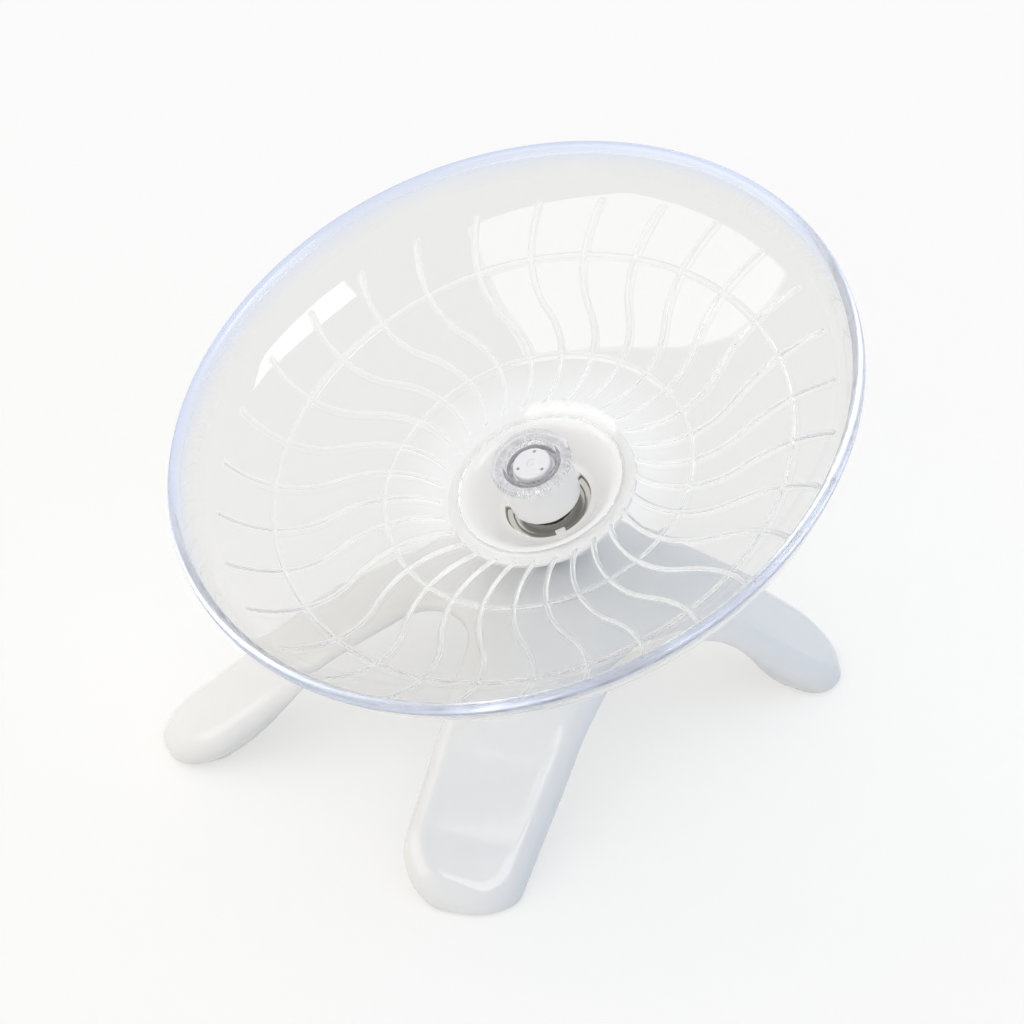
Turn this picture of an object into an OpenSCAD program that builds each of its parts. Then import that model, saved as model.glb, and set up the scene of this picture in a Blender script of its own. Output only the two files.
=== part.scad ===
// Hamster saucer wheel: a clear running saucer that leans forward and turns on a ball bearing,
// on a white stand with four legs. Millimetres, +Z up. The origin lies on the floor, straight
// below the middle of the saucer's rim, and the saucer leans towards -Y.

/* [Saucer] */
// Diameter over the rim's lip
rim_d = 176; // [150:1:220]
// Thickness of the round lip
lip_d = 3.2; // [2.4:0.1:4]
// Height of the rim's middle above the floor
rim_height = 85; // [81.5:0.5:94]
// Lean of the saucer's axis towards the front, in degrees
tilt = 23; // [18:0.5:26]
// Depth from the lip's middle to the bearing's top face
hub_depth = 34.5; // [32.5:0.5:38.5]
// Height of the saucer's floor above the bearing's top face, at the hub
floor_up = 9.4; // [8.5:0.1:11]
// How sharply the floor curves up towards the rim: 2 is a parabola
bowl_power = 3.8; // [2.5:0.1:4.5]
// Height of the steep rim wall, from its foot to the lip's middle
rim_wall_h = 9; // [7:0.5:11]
// Draft of the rim wall, in degrees
rim_draft = 24; // [14:1:28]
// Thickness of the clear plastic
dish_wall = 1.8; // [1.4:0.1:2.4]

/* [Grip ribs] */
// Number of S-shaped ribs
rib_count = 30; // [20:1:36]
// Width of a rib
rib_w = 1.1; // [0.8:0.1:1.6]
// Height of a rib above the floor
rib_h = 0.8; // [0.5:0.1:1.2]
// Distance from the hub's edge to a rib's inner end
rib_hub_gap = 4; // [3:0.1:7]
// Distance from a rib's outer end to the foot of the rim wall
rib_rim_gap = 3.7; // [2.5:0.1:8]
// Where the inner bend of the S turns
rib_inner_bend = 36; // [32:0.5:42]
// Where the outer bend of the S turns
rib_outer_bend = 68; // [60:0.5:70]
// Sideways swing of the S between its two bends
rib_swing = 11.3; // [8:0.1:12]
// Sideways place of the inner bend
rib_offset = 0.7; // [0:0.1:2]
// Radius of the inner moulded ring
inner_ring_r = 39.4; // [34:0.1:45]
// Radius of the outer moulded ring
outer_ring_r = 66; // [58:0.1:72]
// Width of a moulded ring
ring_w = 1; // [0.8:0.1:1.6]
// Height of a moulded ring
ring_h = 0.6; // [0.4:0.1:1]

/* [Hub] */
// Radius of the white hub's edge in the saucer's floor
hub_r = 20.8; // [19:0.1:23]
// How far the floor dips at the hub's edge
hub_dip = 1.2; // [0.6:0.1:1.5]
// Width of the flange below the saucer's floor
flange_w = 3.4; // [2:0.1:5]
// Thickness of the flange
flange_t = 1.2; // [1:0.1:2]
// Wall of the hub round the bearing
hub_wall = 2; // [1.6:0.1:2.6]
// Height of the hub's throat above the bearing's top face
throat_h = 0.9; // [0.6:0.1:1.4]
// Width of a tab that keeps the bearing in
tab_w = 2.6; // [1.8:0.1:4]
// Length of a tab over the bearing
tab_len = 1.7; // [1:0.1:2]
// Thickness of a tab
tab_t = 0.7; // [0.5:0.1:0.9]
// Turn of the first tab about the axis, in degrees
tab_turn = -32; // [-60:1:60]

/* [Bearing] */
// Outer diameter of the ball bearing
bearing_od = 22; // [21:0.5:24]
// Bore of the ball bearing
bearing_bore = 8; // [7:0.5:8]
// Width of the ball bearing
bearing_h = 7; // [6:0.5:8]
// Diameter of a ball
ball_d = 3.969; // [3.5:0.001:4]
// Number of balls
ball_count = 7; // [5:1:8]
// Gap between a ball and the races, and between a ball and the cage
ball_gap = 0.04; // [0.02:0.01:0.06]
// Thickness of a race's shoulder beside its groove
race_t = 1.9; // [1.8:0.05:2]
// Thickness of a pressed shield
shield_t = 0.3; // [0.2:0.05:0.4]
// How deep a shield lies below the bearing's face
shield_sink = 0.35; // [0.2:0.05:0.5]

/* [Sleeve, cap and screw] */
// Diameter of the white sleeve at its lower end
sleeve_d = 18; // [16:0.1:19]
// Diameter of the white sleeve at its upper end
sleeve_top_d = 19.2; // [18:0.1:20]
// Height of the sleeve's lower edge above the bearing's top face
sleeve_lift = 3.2; // [2:0.1:5]
// Height of the sleeve's upper end above the bearing's top face
sleeve_top = 15.4; // [14:0.1:18]
// Diameter of the clear cap
cap_d = 20.6; // [20.2:0.1:22]
// Thickness of the cap's edge
cap_t = 2.5; // [2:0.1:3.5]
// Diameter of the recess in the cap
cap_recess_d = 13; // [11:0.1:13]
// Depth of the recess below the cap's top
cap_recess_h = 3.9; // [3.2:0.1:4.2]
// Thickness of the cap's floor
cap_floor = 1.4; // [1:0.1:2]
// Thickness of the sleeve's web between the spindle's top and the cap
sleeve_web = 1.6; // [1.2:0.1:3]
// Diameter of the screw's head
screw_head_d = 9.8; // [8.6:0.1:10.2]
// Height of the screw's head
screw_head_h = 2.3; // [1.8:0.1:2.6]
// Diameter of a spanner hole in the screw's head
spanner_hole_d = 0.9; // [0.6:0.1:1.2]
// Distance from the screw's axis to a spanner hole
spanner_hole_place = 3.6; // [3:0.1:3.8]
// Diameter of the dimple in the middle of the screw's head
screw_dimple_d = 2.6; // [1.6:0.1:3.4]
// Diameter of the screw's shank
screw_d = 4; // [3:0.1:4]
// Length of the screw's shank
screw_len = 12; // [8:0.5:13]

/* [Spindle and nut] */
// Thickness of the thrust washer below the bearing
thrust_t = 0.8; // [0.5:0.1:1.2]
// Diameter of the spindle's collar
collar_d = 12.8; // [11:0.1:14]
// Thickness of the spindle's collar
collar_t = 0.9; // [0.6:0.1:1.5]
// Length of the spindle below the nut
spindle_tail = 2; // [1:0.5:4]
// Width across the nut's flats
nut_af = 13; // [12:0.5:14]
// Height of the nut
nut_h = 4; // [3:0.5:5]
// Thickness of the washer above the nut
nut_washer_t = 1.2; // [0.8:0.1:1.6]

/* [Stand] */
// Wall of the stand's shell
stand_wall = 2.4; // [2:0.1:3]
// Distance from the bearing's top face down to the stand's flat top
crown_drop = 13.4; // [12.5:0.1:15]
// Sideways place of a front foot
front_foot_x = 43.5; // [39:0.5:47]
// Distance of a front foot in front of the origin
front_foot_y = 63; // [58:0.5:66]
// Sideways place of a rear foot
rear_foot_x = 42.5; // [39:0.5:47]
// Distance of a rear foot behind the origin
rear_foot_y = 60.5; // [56:0.5:64]
// Width of a foot
foot_w = 30; // [26:0.5:32]
// Corner radius of a foot, seen from above
foot_r = 12.5; // [11:0.5:13.5]
// Height of the skirt along a leg
leg_t = 12; // [10:0.5:13]
// Height of the thin edge at the waist and at the notches
lip_t = 3.4; // [3:0.2:5]
// Half the stand's width at its waist
waist_x = 35.5; // [31:0.5:40]
// Place of the waist behind the origin
waist_y = 8; // [0:1:16]
// Radius of the waist's hollow
waist_r = 38; // [32:1:44]
// Place of the front notch's end
front_notch_y = -21.5; // [-26:0.5:-17]
// Place of the rear notch's end
rear_notch_y = 37.5; // [35:0.5:43]
// Radius of a notch's round end
notch_r = 12; // [9:0.5:14]
// Height of a front leg's top over its foot
front_foot_h = 11.7; // [10.8:0.1:12.5]
// Height of a rear leg's top over its foot
rear_foot_h = 11; // [10:0.1:12.5]
// Bend radius between the flat top and the front legs
front_bend_r = 42; // [30:1:60]
// Bend radius between the flat top and the rear legs
rear_bend_r = 22; // [16:1:26]
// Front end of the flat top
flat_front_y = -16; // [-20:1:-10]
// Rear end of the flat top
flat_rear_y = 31; // [26:1:35]
// Slope of the stand's top down to its sides, in degrees
side_slope = 27; // [18:0.5:29]
// Bend radius along the middle of the stand's top
side_bend_r = 60; // [40:1:90]
// Radius of the rounding along the stand's edges
edge_r = 5; // [4:0.5:6.5]
// How much a leg's lower edge is tucked in, as a share of the skirt's height
tuck = 0.1; // [0:0.05:0.4]
// The same at the tip of a foot
toe_tuck = 0.9; // [0.5:0.05:1]
// Length of leg over which a foot's tuck fades
toe_len = 20; // [10:1:24]
// Diameter of the boss that holds the spindle
boss_d = 17; // [15:0.5:19]
// Length of the boss
boss_len = 12; // [10:0.5:14]

/* [Foot pads] */
// Diameter of a foot pad
pad_d = 8; // [6:0.5:9]
// Thickness of a foot pad
pad_t = 1.6; // [1.2:0.1:2.4]
// How far a pad stands out below its foot
pad_proud = 0.6; // [0.4:0.1:0.8]
// Diameter of a foot's sole
sole_d = 12; // [11:0.5:14]

/* [Hidden] */
$fn = 96;

// Clearance round a shaft or a screw, and between pieces that only meet
fit_gap = 0.05;
// How far a piece reaches into its neighbour where both are one solid
sink = 0.4;

// The hub's place: the middle of the bearing's top face
hub_y = hub_depth * sin(tilt);
hub_z = rim_height - hub_depth * cos(tilt);

lip_r = rim_d / 2 - lip_d / 2;
wall_top_r = lip_r - dish_wall / 2;
wall_foot_w = hub_depth - rim_wall_h;
wall_foot_r = wall_top_r - rim_wall_h * tan(rim_draft);
// The curved floor rises from the hub to the foot of the rim wall
bowl_rise = wall_foot_w - floor_up;
dip_w = 5.2;
floor_steps = 10;
bend_steps = 4;
bend_start = 0.955;

// Height of the saucer's floor over the bearing's top face, at radius r
function dip(r) = r < hub_r + dip_w ? hub_dip * pow((hub_r + dip_w - r) / dip_w, 2) : 0;
function floor_w(r) = floor_up - dip(r) + bowl_rise * pow(r / wall_foot_r, bowl_power);

// The floor's last point before the bend, its slope, and where it would meet the wall
bend_r0 = wall_foot_r * bend_start;
bend_w0 = floor_w(bend_r0);
bend_slope = bowl_rise * bowl_power * pow(bend_start, bowl_power - 1) / wall_foot_r;
wall_slope = 1 / tan(rim_draft);
bend_r1 = (wall_foot_w - bend_w0 + bend_slope * bend_r0 - wall_slope * wall_foot_r)
    / (bend_slope - wall_slope);
bend_w1 = bend_w0 + bend_slope * (bend_r1 - bend_r0);
bend_r2 = bend_r1 + (bend_r1 - bend_r0) * tan(rim_draft);
bend_w2 = bend_w1 + (bend_r1 - bend_r0);

// Points of the saucer's inner face, from the hub's edge to the lip
function bend_point(t) = pow(1 - t, 2) * [bend_r0, bend_w0] + 2 * t * (1 - t) * [bend_r1, bend_w1]
    + t * t * [bend_r2, bend_w2];
inner_face = concat(
    [for (i = [0:floor_steps - 1]) let (r = hub_r + (bend_r0 - hub_r) * i / floor_steps) [r, floor_w(r)]],
    [for (i = [0:bend_steps]) bend_point(i / bend_steps)],
    [[wall_top_r, hub_depth]]);

function unit(v) = v / norm(v);
function face_normal(p, i) = let (d = unit(p[min(i + 1, len(p) - 1)] - p[max(i - 1, 0)])) [d.y, -d.x];
outer_face = [for (i = [len(inner_face) - 1:-1:0]) inner_face[i] + dish_wall * face_normal(inner_face, i)];

// A rib runs along x before it is turned to its place. Its two bends are arcs of one radius that
// meet midway.
rib_start = hub_r + rib_hub_gap;
rib_end = wall_foot_r - rib_rim_gap;
rib_mid = (rib_inner_bend + rib_outer_bend) / 2;
rib_arc_r = (pow(rib_outer_bend - rib_inner_bend, 2) + rib_swing * rib_swing) / (4 * rib_swing);

bearing_r = bearing_od / 2;
bore_r = bearing_bore / 2;
ball_pitch_r = (bearing_r + bore_r) / 2;
groove_r = ball_d / 2 + ball_gap;
cage_t = 2;
cage_gap = 0.35;
cage_h = bearing_h - 2 * (shield_sink + shield_t + cage_gap);
pocket_r = ball_d / 2 + 0.1;
shield_gap = 0.25;

flange_top = floor_w(hub_r) - dish_wall - fit_gap;
housing_r = bearing_r + hub_wall;
housing_lip = 1.2;
housing_lip_r = bearing_r - 1.2;
tab_drop = 0.1;
funnel_steps = 8;

sleeve_foot_r = bore_r + race_t - 0.4;
cap_top = sleeve_top + cap_t;
recess_w = cap_top - cap_recess_h;
plug_wall = 0.9;
plug_r = cap_recess_d / 2 + plug_wall;
plug_w = recess_w - cap_floor;
spindle_top = plug_w - sleeve_web;
screw_washer_t = 0.5;
screw_washer_r = screw_head_d / 2 + 0.5;
screw_seat_w = recess_w + screw_washer_t;
screw_top = screw_seat_w + screw_head_h;
shank_r = bore_r - fit_gap;
thread_depth = 14;

washer_step = 0.4;
collar_top = -bearing_h - thrust_t;
boss_top = collar_top - collar_t;
boss_bottom = boss_top - boss_len;
nut_top = boss_bottom - nut_washer_t;
spindle_bottom = nut_top - nut_h - spindle_tail;
nut_washer_r = 8;

stand_top = hub_z - crown_drop;
half_w = foot_w / 2 - foot_r;

// The stand's outline, seen from above, is a chain of circles joined by tangent lines. A circle
// is [centre, radius]; a negative radius is a hollow.
front_foot = [front_foot_x, -front_foot_y];
rear_foot = [rear_foot_x, rear_foot_y];
hub_foot = [0, hub_y];
function foot_corner(foot, side) = let (d = (foot - hub_foot) / norm(foot - hub_foot))
    foot + side * half_w * [abs(d.y), -d.x * sign(d.y)];
notch_f = [0, front_notch_y - notch_r];
notch_b = [0, rear_notch_y + notch_r];
chain = [
    [notch_f, -notch_r],
    [foot_corner(front_foot, -1), foot_r],
    [foot_corner(front_foot, 1), foot_r],
    [[waist_x + waist_r, waist_y], -waist_r],
    [foot_corner(rear_foot, 1), foot_r],
    [foot_corner(rear_foot, -1), foot_r],
    [notch_b, -notch_r]];

// Heading of the tangent line that leaves link i for the next one
function heading(i) = let (d = chain[i + 1][0] - chain[i][0])
    atan2(d.y, d.x) + asin((chain[i][1] - chain[i + 1][1]) / norm(d));
headings = [for (i = [0:len(chain) - 2]) heading(i)];
function on_link(i, a) = chain[i][0] + chain[i][1] * [cos(a - 90), sin(a - 90)];
function inward(a) = [cos(a + 90), sin(a + 90)];

// A sample of the outline is [point, inward direction, spine point, skirt height]. The spine
// runs along each leg to its shoulder and from there to the stand's middle line. A run along
// the spine takes n steps from s0 to s1; back = true walks a run of the other side backwards.
middle_f = [0, front_notch_y + 12];
middle_b = [0, rear_notch_y - 10];
shoulder_f = [22, front_notch_y];
shoulder_b = [22, rear_notch_y];
function mix(a, b, t) = a + (b - a) * t;
function ease(t) = t * t * (3 - 2 * t);
function track(s0, s1, k, n, back) = back ? mix(s1, s0, (n - k) / n) : mix(s0, s1, k / n);
function arc(i, a0, a1, n, s0, s1, t, back = false) = [for (k = [0:n - 1]) let (a = mix(a0, a1, k / n))
    [on_link(i, a), inward(a), track(s0, s1, k, n, back), t]];
function line(i, s0, s1, grow, back = false) = [for (k = [0:line_n - 1]) let (a = headings[i],
    p = mix(on_link(i, a), on_link(i + 1, a), k / line_n), u = (back ? line_n - k : k) / line_n)
    [p, inward(a), track(s0, s1, k, line_n, back), mix(lip_t, leg_t, pow(ease(u), grow))]];
// How late the skirt grows along a leg, on its outer side and on the notch's side
outer_grow = 1.2;
inner_grow = 4;
line_n = 8;
tip_n = 5;
shoulder_n = 4;
middle_n = 4;
waist_n = 2 * shoulder_n + middle_n;
function waist_arc(k0, n, s0, s1, back = false) = arc(3, mix(headings[2], headings[3], k0 / waist_n),
    mix(headings[2], headings[3], (k0 + n) / waist_n), n, s0, s1, lip_t, back);
right_side = concat(
    arc(0, 0, headings[0], shoulder_n, middle_f, shoulder_f, lip_t),
    line(0, shoulder_f, front_foot, inner_grow),
    arc(1, headings[0], headings[1], tip_n, front_foot, front_foot, leg_t),
    arc(2, headings[1], headings[2], tip_n, front_foot, front_foot, leg_t),
    line(2, front_foot, shoulder_f, outer_grow, true),
    waist_arc(0, shoulder_n, shoulder_f, middle_f, true),
    waist_arc(shoulder_n, middle_n, middle_f, middle_b),
    waist_arc(shoulder_n + middle_n, shoulder_n, middle_b, shoulder_b),
    line(3, shoulder_b, rear_foot, outer_grow),
    arc(4, headings[3], headings[4], tip_n, rear_foot, rear_foot, leg_t),
    arc(5, headings[4], headings[5] + 360, tip_n, rear_foot, rear_foot, leg_t),
    line(5, rear_foot, shoulder_b, inner_grow, true),
    arc(6, headings[5], 180 - 360, shoulder_n, shoulder_b, middle_b, lip_t, true));
rear_end = [[0, rear_notch_y], [0, -1], middle_b, lip_t];
function flip(s) = [[-s[0].x, s[0].y], [-s[1].x, s[1].y], [-s[2].x, s[2].y], s[3]];
outline = concat(right_side, [rear_end],
    [for (k = [len(right_side) - 1:-1:1]) flip(right_side[k])]);

// Height of the stand's top face: flat in the middle, bent down to the legs, lower at the sides.
// A bend falls along an arc of radius r and then straight on, bend_drop deep at distance d.
function bend_drop(d, r, slope) = d <= 0 ? 0 : d < r * sin(slope) ? r - sqrt(r * r - d * d)
    : r * (1 - cos(slope)) + (d - r * sin(slope)) * tan(slope);
// The slope that such a bend needs to fall by drop at distance d
function slope_to(d, r, drop) = atan2(drop - r, d) + asin(r / norm([d, drop - r]));
function leg_drop(foot_x, foot_h) = stand_top - bend_drop(foot_x, side_bend_r, side_slope) - foot_h;
front_slope = slope_to(front_foot_y + flat_front_y, front_bend_r, leg_drop(front_foot_x, front_foot_h));
rear_slope = slope_to(rear_foot_y - flat_rear_y, rear_bend_r, leg_drop(rear_foot_x, rear_foot_h));
function top_z(p) = stand_top - bend_drop(abs(p.x), side_bend_r, side_slope)
    - bend_drop(flat_front_y - p.y, front_bend_r, front_slope)
    - bend_drop(p.y - flat_rear_y, rear_bend_r, rear_slope);
nudge = 0.05;
function top_normal(p) = unit([
    (top_z(p - [nudge, 0]) - top_z(p + [nudge, 0])) / (2 * nudge),
    (top_z(p - [0, nudge]) - top_z(p + [0, nudge])) / (2 * nudge), 1]);
// The point at depth h below the top face, nearly square to it, or on the floor's level z0
function below(p, h, z0) = let (v = unit(top_normal(p) + [0, 0, 1]))
    [p.x, p.y, top_z(p)] - min(h, (top_z(p) - z0) / v.z) * v;

// Rows of the shell, each a copy of the outline drawn further in: the skirt's lower edge, the
// rounding, and the face up to the spine. The rows of the inside follow in the opposite order.
round_steps = 3;
span_steps = 2;
function edge_of(s) = min(edge_r, s[3] * 0.8);
// How near a sample is to the tip of its foot: 1 at the tip, 0 beyond toe_len
function near_tip(s) = let (p = [abs(s[2].x), s[2].y])
    max(0, 1 - min(norm(p - front_foot), norm(p - rear_foot)) / toe_len);
function edge_point(s, inset, z0, j) = let (a = 90 * j / round_steps, e = edge_of(s))
    below(s[0] + s[1] * (inset + (edge_r - inset) * (1 - sin(a))),
        inset + max(e - inset, 0.3) * (1 - cos(a)), z0);
function span_point(s, inset, z0, j) = below(mix(s[0] + s[1] * edge_r, s[2], j / span_steps), inset, z0);
function shell_rows(inset, z0) = concat(
    [for (u = [1, 0.5]) [for (s = outline) let (d = s[3] - edge_of(s))
        below(s[0] + s[1] * (inset + mix(tuck, toe_tuck, near_tip(s)) * d * u * u), edge_of(s) + d * u, z0)]],
    [for (j = [round_steps:-1:0]) [for (s = outline) edge_point(s, inset, z0, j)]],
    [for (j = [1:span_steps]) [for (s = outline) span_point(s, inset, z0, j)]]);

module shell() {
    half = round_steps + span_steps + 3;
    outside = shell_rows(0, -sink);
    inside = shell_rows(stand_wall, -sink);
    rows = concat(outside, [for (j = [half - 1:-1:0]) inside[j]]);
    n = len(outline);
    points = [for (row = rows) each row];
    function corner(j, k) = (j % len(rows)) * n + k % n;
    function proper(f) = norm(points[f[0]] - points[f[1]]) > 0.001
        && norm(points[f[1]] - points[f[2]]) > 0.001 && norm(points[f[2]] - points[f[0]]) > 0.001;
    faces = [for (j = [0:len(rows) - 1]) if (j != half - 1) for (k = [0:n - 1])
        for (f = [[corner(j, k), corner(j + 1, k), corner(j + 1, k + 1)],
            [corner(j, k), corner(j + 1, k + 1), corner(j, k + 1)]]) if (proper(f)) f];
    polyhedron(points, faces, convexity = 6);
}

module on_axis() translate([0, hub_y, hub_z]) rotate([tilt, 0, 0]) children();
module disc(r, w0, w1) translate([0, 0, w0]) cylinder(r = r, h = w1 - w0);
module tube(r0, r1, w0, w1) difference() {
    disc(r1, w0, w1);
    disc(r0, w0 - 1, w1 + 1);
}

// A rib from above: two arcs that meet midway, with round ends
function bend_centre(outer) = outer ? [rib_outer_bend, rib_offset + rib_swing - rib_arc_r]
    : [rib_inner_bend, rib_offset + rib_arc_r];
module bend_ring(outer, from, to) intersection() {
    translate(bend_centre(outer)) difference() {
        circle(rib_arc_r + rib_w / 2);
        circle(rib_arc_r - rib_w / 2);
    }
    translate([from, -rib_w]) square([to - from, rib_swing + 2 * rib_w + rib_offset]);
}
function bend_y(outer, x) = let (c = bend_centre(outer), h = sqrt(pow(rib_arc_r, 2) - pow(x - c.x, 2)))
    outer ? c.y + h : c.y - h;
module rib_outline() {
    bend_ring(false, rib_start, rib_mid);
    bend_ring(true, rib_mid, rib_end);
    translate([rib_start, bend_y(false, rib_start)]) circle(d = rib_w);
    translate([rib_end, bend_y(true, rib_end)]) circle(d = rib_w);
}
module ribs() intersection() {
    linear_extrude(height = hub_depth) for (k = [0:rib_count - 1])
        rotate(k * 360 / rib_count) rib_outline();
    rib_band();
}
band_steps = 6;
function band_point(t, h) = let (r = rib_start - 1 + (rib_end + 2 - rib_start) * t) [r, floor_w(r) + h];
module rib_band() rotate_extrude() polygon(concat(
    [for (i = [0:band_steps]) band_point(i / band_steps, rib_h)],
    [for (t = [1, 0.75, 0.4, 0]) band_point(t, -dish_wall / 2)]));
module floor_ring(r) rotate_extrude() translate([r, floor_w(r)])
    polygon([[-ring_w / 2, -sink], [ring_w / 2, -sink], [ring_w / 4, ring_h], [-ring_w / 4, ring_h]]);

module dish() color([0.86, 0.9, 0.96, 0.45]) on_axis() {
    rotate_extrude() polygon(concat(inner_face, outer_face));
    rotate_extrude() translate([lip_r, hub_depth]) circle(d = lip_d);
    floor_ring(inner_ring_r);
    floor_ring(outer_ring_r);
    ribs();
}

// The hub: a funnel from the saucer's floor down to the bearing's seat
function funnel_point(t) = [mix(hub_r, bearing_r + fit_gap, t), mix(floor_w(hub_r), throat_h, ease(t))];
module hub_housing() color("whitesmoke") on_axis() {
    rotate_extrude() polygon(concat(
        [for (i = [0:funnel_steps]) funnel_point(i / funnel_steps)],
        [[bearing_r, 0], [bearing_r, -bearing_h], [housing_lip_r, -bearing_h],
        [housing_lip_r, -bearing_h - housing_lip], [housing_r, -bearing_h - housing_lip],
        [housing_r, 0], [hub_r - flange_t, flange_top - 2 * flange_t],
        [hub_r + flange_w, flange_top - flange_t], [hub_r + flange_w, flange_top], [hub_r, flange_top]]));
    for (k = [0:2]) rotate(tab_turn + 120 * k)
        translate([bearing_r - tab_len, -tab_w / 2, throat_h - tab_t - tab_drop])
            cube([tab_len + hub_wall / 2, tab_w, tab_t]);
}

module race(r0, r1) difference() {
    tube(r0, r1, -bearing_h, 0);
    rotate_extrude() translate([ball_pitch_r, -bearing_h / 2]) circle(groove_r);
}
module bearing_outer_race() color("silver") on_axis() race(bearing_r - race_t, bearing_r);
module bearing_inner_race() color("silver") on_axis() race(bore_r, bore_r + race_t);
module shield(w) tube(bore_r + race_t + shield_gap, bearing_r - race_t, w - shield_t, w);
module bearing_shield_upper() color("lightslategray") on_axis() shield(-shield_sink);
module bearing_shield_lower() color("lightslategray") on_axis() shield(shield_t + shield_sink - bearing_h);
module at_ball(k) rotate(k * 360 / ball_count) translate([ball_pitch_r, 0, -bearing_h / 2]) children();
module bearing_cage() color("tan") on_axis() difference() {
    tube(ball_pitch_r - cage_t / 2, ball_pitch_r + cage_t / 2, -bearing_h / 2 - cage_h / 2,
        -bearing_h / 2 + cage_h / 2);
    for (k = [1:ball_count]) at_ball(k) rotate([0, 90, 0])
        cylinder(r = pocket_r, h = 2 * cage_t, center = true);
}
module ball(k) color("lightgray") on_axis() at_ball(k) sphere(d = ball_d);
module ball_1() ball(1);
module ball_2() ball(2);
module ball_3() ball(3);
module ball_4() ball(4);
module ball_5() ball(5);
module ball_6() ball(6);
module ball_7() ball(7);

module thrust_washer() color("silver") on_axis()
    tube(bore_r, collar_d / 2 - washer_step, collar_top, -bearing_h);
module spindle() color("gainsboro") on_axis() difference() {
    union() {
        disc(shank_r, spindle_bottom, spindle_top);
        disc(collar_d / 2, boss_top, collar_top);
    }
    disc(screw_d / 2, spindle_top - thread_depth, spindle_top + 1);
}
module sleeve() color("white") on_axis() rotate_extrude() polygon([
    [bore_r, 0], [sleeve_foot_r, 0], [sleeve_foot_r, sleeve_lift], [sleeve_d / 2 - 0.6, sleeve_lift],
    [sleeve_d / 2, sleeve_lift + 0.6], [sleeve_top_d / 2, sleeve_top], [plug_r + fit_gap, sleeve_top],
    [plug_r + fit_gap, plug_w], [screw_d / 2 + fit_gap, plug_w], [screw_d / 2 + fit_gap, spindle_top],
    [bore_r, spindle_top]]);
module cap() color([0.85, 0.86, 0.95, 0.6]) on_axis() {
    rotate_extrude() polygon([
        [screw_d / 2 + fit_gap, plug_w], [plug_r, plug_w], [plug_r, sleeve_top],
        [cap_d / 2 - 0.4, sleeve_top], [cap_d / 2, sleeve_top + 0.5], [cap_d / 2, cap_top - 0.9],
        [cap_d / 2 - 0.3, cap_top - 0.3], [cap_d / 2 - 0.9, cap_top], [cap_recess_d / 2 + 0.4, cap_top],
        [cap_recess_d / 2, cap_top - 0.4], [cap_recess_d / 2, recess_w],
        [screw_d / 2 + fit_gap, recess_w]]);
}
module screw_washer() color("white") on_axis()
    tube(screw_d / 2 + fit_gap, screw_washer_r, recess_w, screw_seat_w);
module cap_screw() color("white") on_axis() difference() {
    union() {
        disc(screw_d / 2 - fit_gap, screw_seat_w - screw_len, screw_seat_w + sink);
        disc(screw_head_d / 2, screw_seat_w, screw_top);
    }
    disc(screw_dimple_d / 2, screw_top - 0.3, screw_top + 1);
    for (k = [0:2]) rotate(tab_turn + 30 + 120 * k) translate([spanner_hole_place, 0, 0])
        disc(spanner_hole_d / 2, screw_top - 1, screw_top + 1);
}
module nut_washer() color("silver") on_axis() tube(bore_r, nut_washer_r, nut_top, boss_bottom);
module spindle_nut() color("silver") on_axis() difference() {
    translate([0, 0, nut_top - nut_h]) cylinder(d = nut_af / cos(30), h = nut_h, $fn = 6);
    disc(bore_r, nut_top - nut_h - 1, nut_top + 1);
}

pads = [[-front_foot_x, -front_foot_y], [front_foot_x, -front_foot_y],
    [-rear_foot_x, rear_foot_y], [rear_foot_x, rear_foot_y]];
module at_pad(i) translate([pads[i].x, pads[i].y, 0]) children();
// A sole reaches up into the shell's wall where the leg's top is lowest above it
function sole_top(p) = top_z(p + sole_d / 2 * unit(p - hub_foot)) - stand_wall / 2;
// Resizing by nothing keeps the stand one faceted solid
module stand() color("white") resize([0, 0, 0]) difference() {
    union() {
        shell();
        on_axis() disc(boss_d / 2, boss_bottom, boss_top);
        for (i = [0:3]) at_pad(i) disc(sole_d / 2, -sink / 2, sole_top(pads[i]));
    }
    translate([-rim_d, -rim_d, pad_proud - rim_d]) cube([2 * rim_d, 2 * rim_d, rim_d]);
    on_axis() disc(bore_r, boss_bottom - 1, boss_top + 1);
    for (i = [0:3]) at_pad(i) disc(pad_d / 2 + fit_gap, -1, pad_t);
}
module pad(i) color("dimgray") at_pad(i) disc(pad_d / 2, 0, pad_t);
module pad_front_left() pad(0);
module pad_front_right() pad(1);
module pad_rear_left() pad(2);
module pad_rear_right() pad(3);

dish();
hub_housing();
bearing_outer_race();
bearing_shield_upper();
bearing_shield_lower();
bearing_cage();
ball_1();
ball_2();
ball_3();
ball_4();
ball_5();
ball_6();
ball_7();
bearing_inner_race();
thrust_washer();
spindle();
sleeve();
cap();
screw_washer();
cap_screw();
nut_washer();
spindle_nut();
stand();
pad_front_left();
pad_front_right();
pad_rear_left();
pad_rear_right();
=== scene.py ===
# %% [markdown]
# # A hamster's saucer wheel
#
# A clear plastic saucer leans forward and turns on a ball bearing. A glossy white stand with
# four rounded legs carries it. Ribs moulded in long S curves give the animal grip, and a white
# hub in the middle holds the bearing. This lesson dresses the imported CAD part: the pieces whose
# look depends on smooth curves are built again, finer, and the small steel parts stay as they
# came and get a finish.
#
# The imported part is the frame. Every size below is in millimetres, as in the part's source, and
# becomes metres when a mesh is made.

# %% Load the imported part
import math

import bmesh
import bpy
from mathutils import Matrix, Vector


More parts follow.
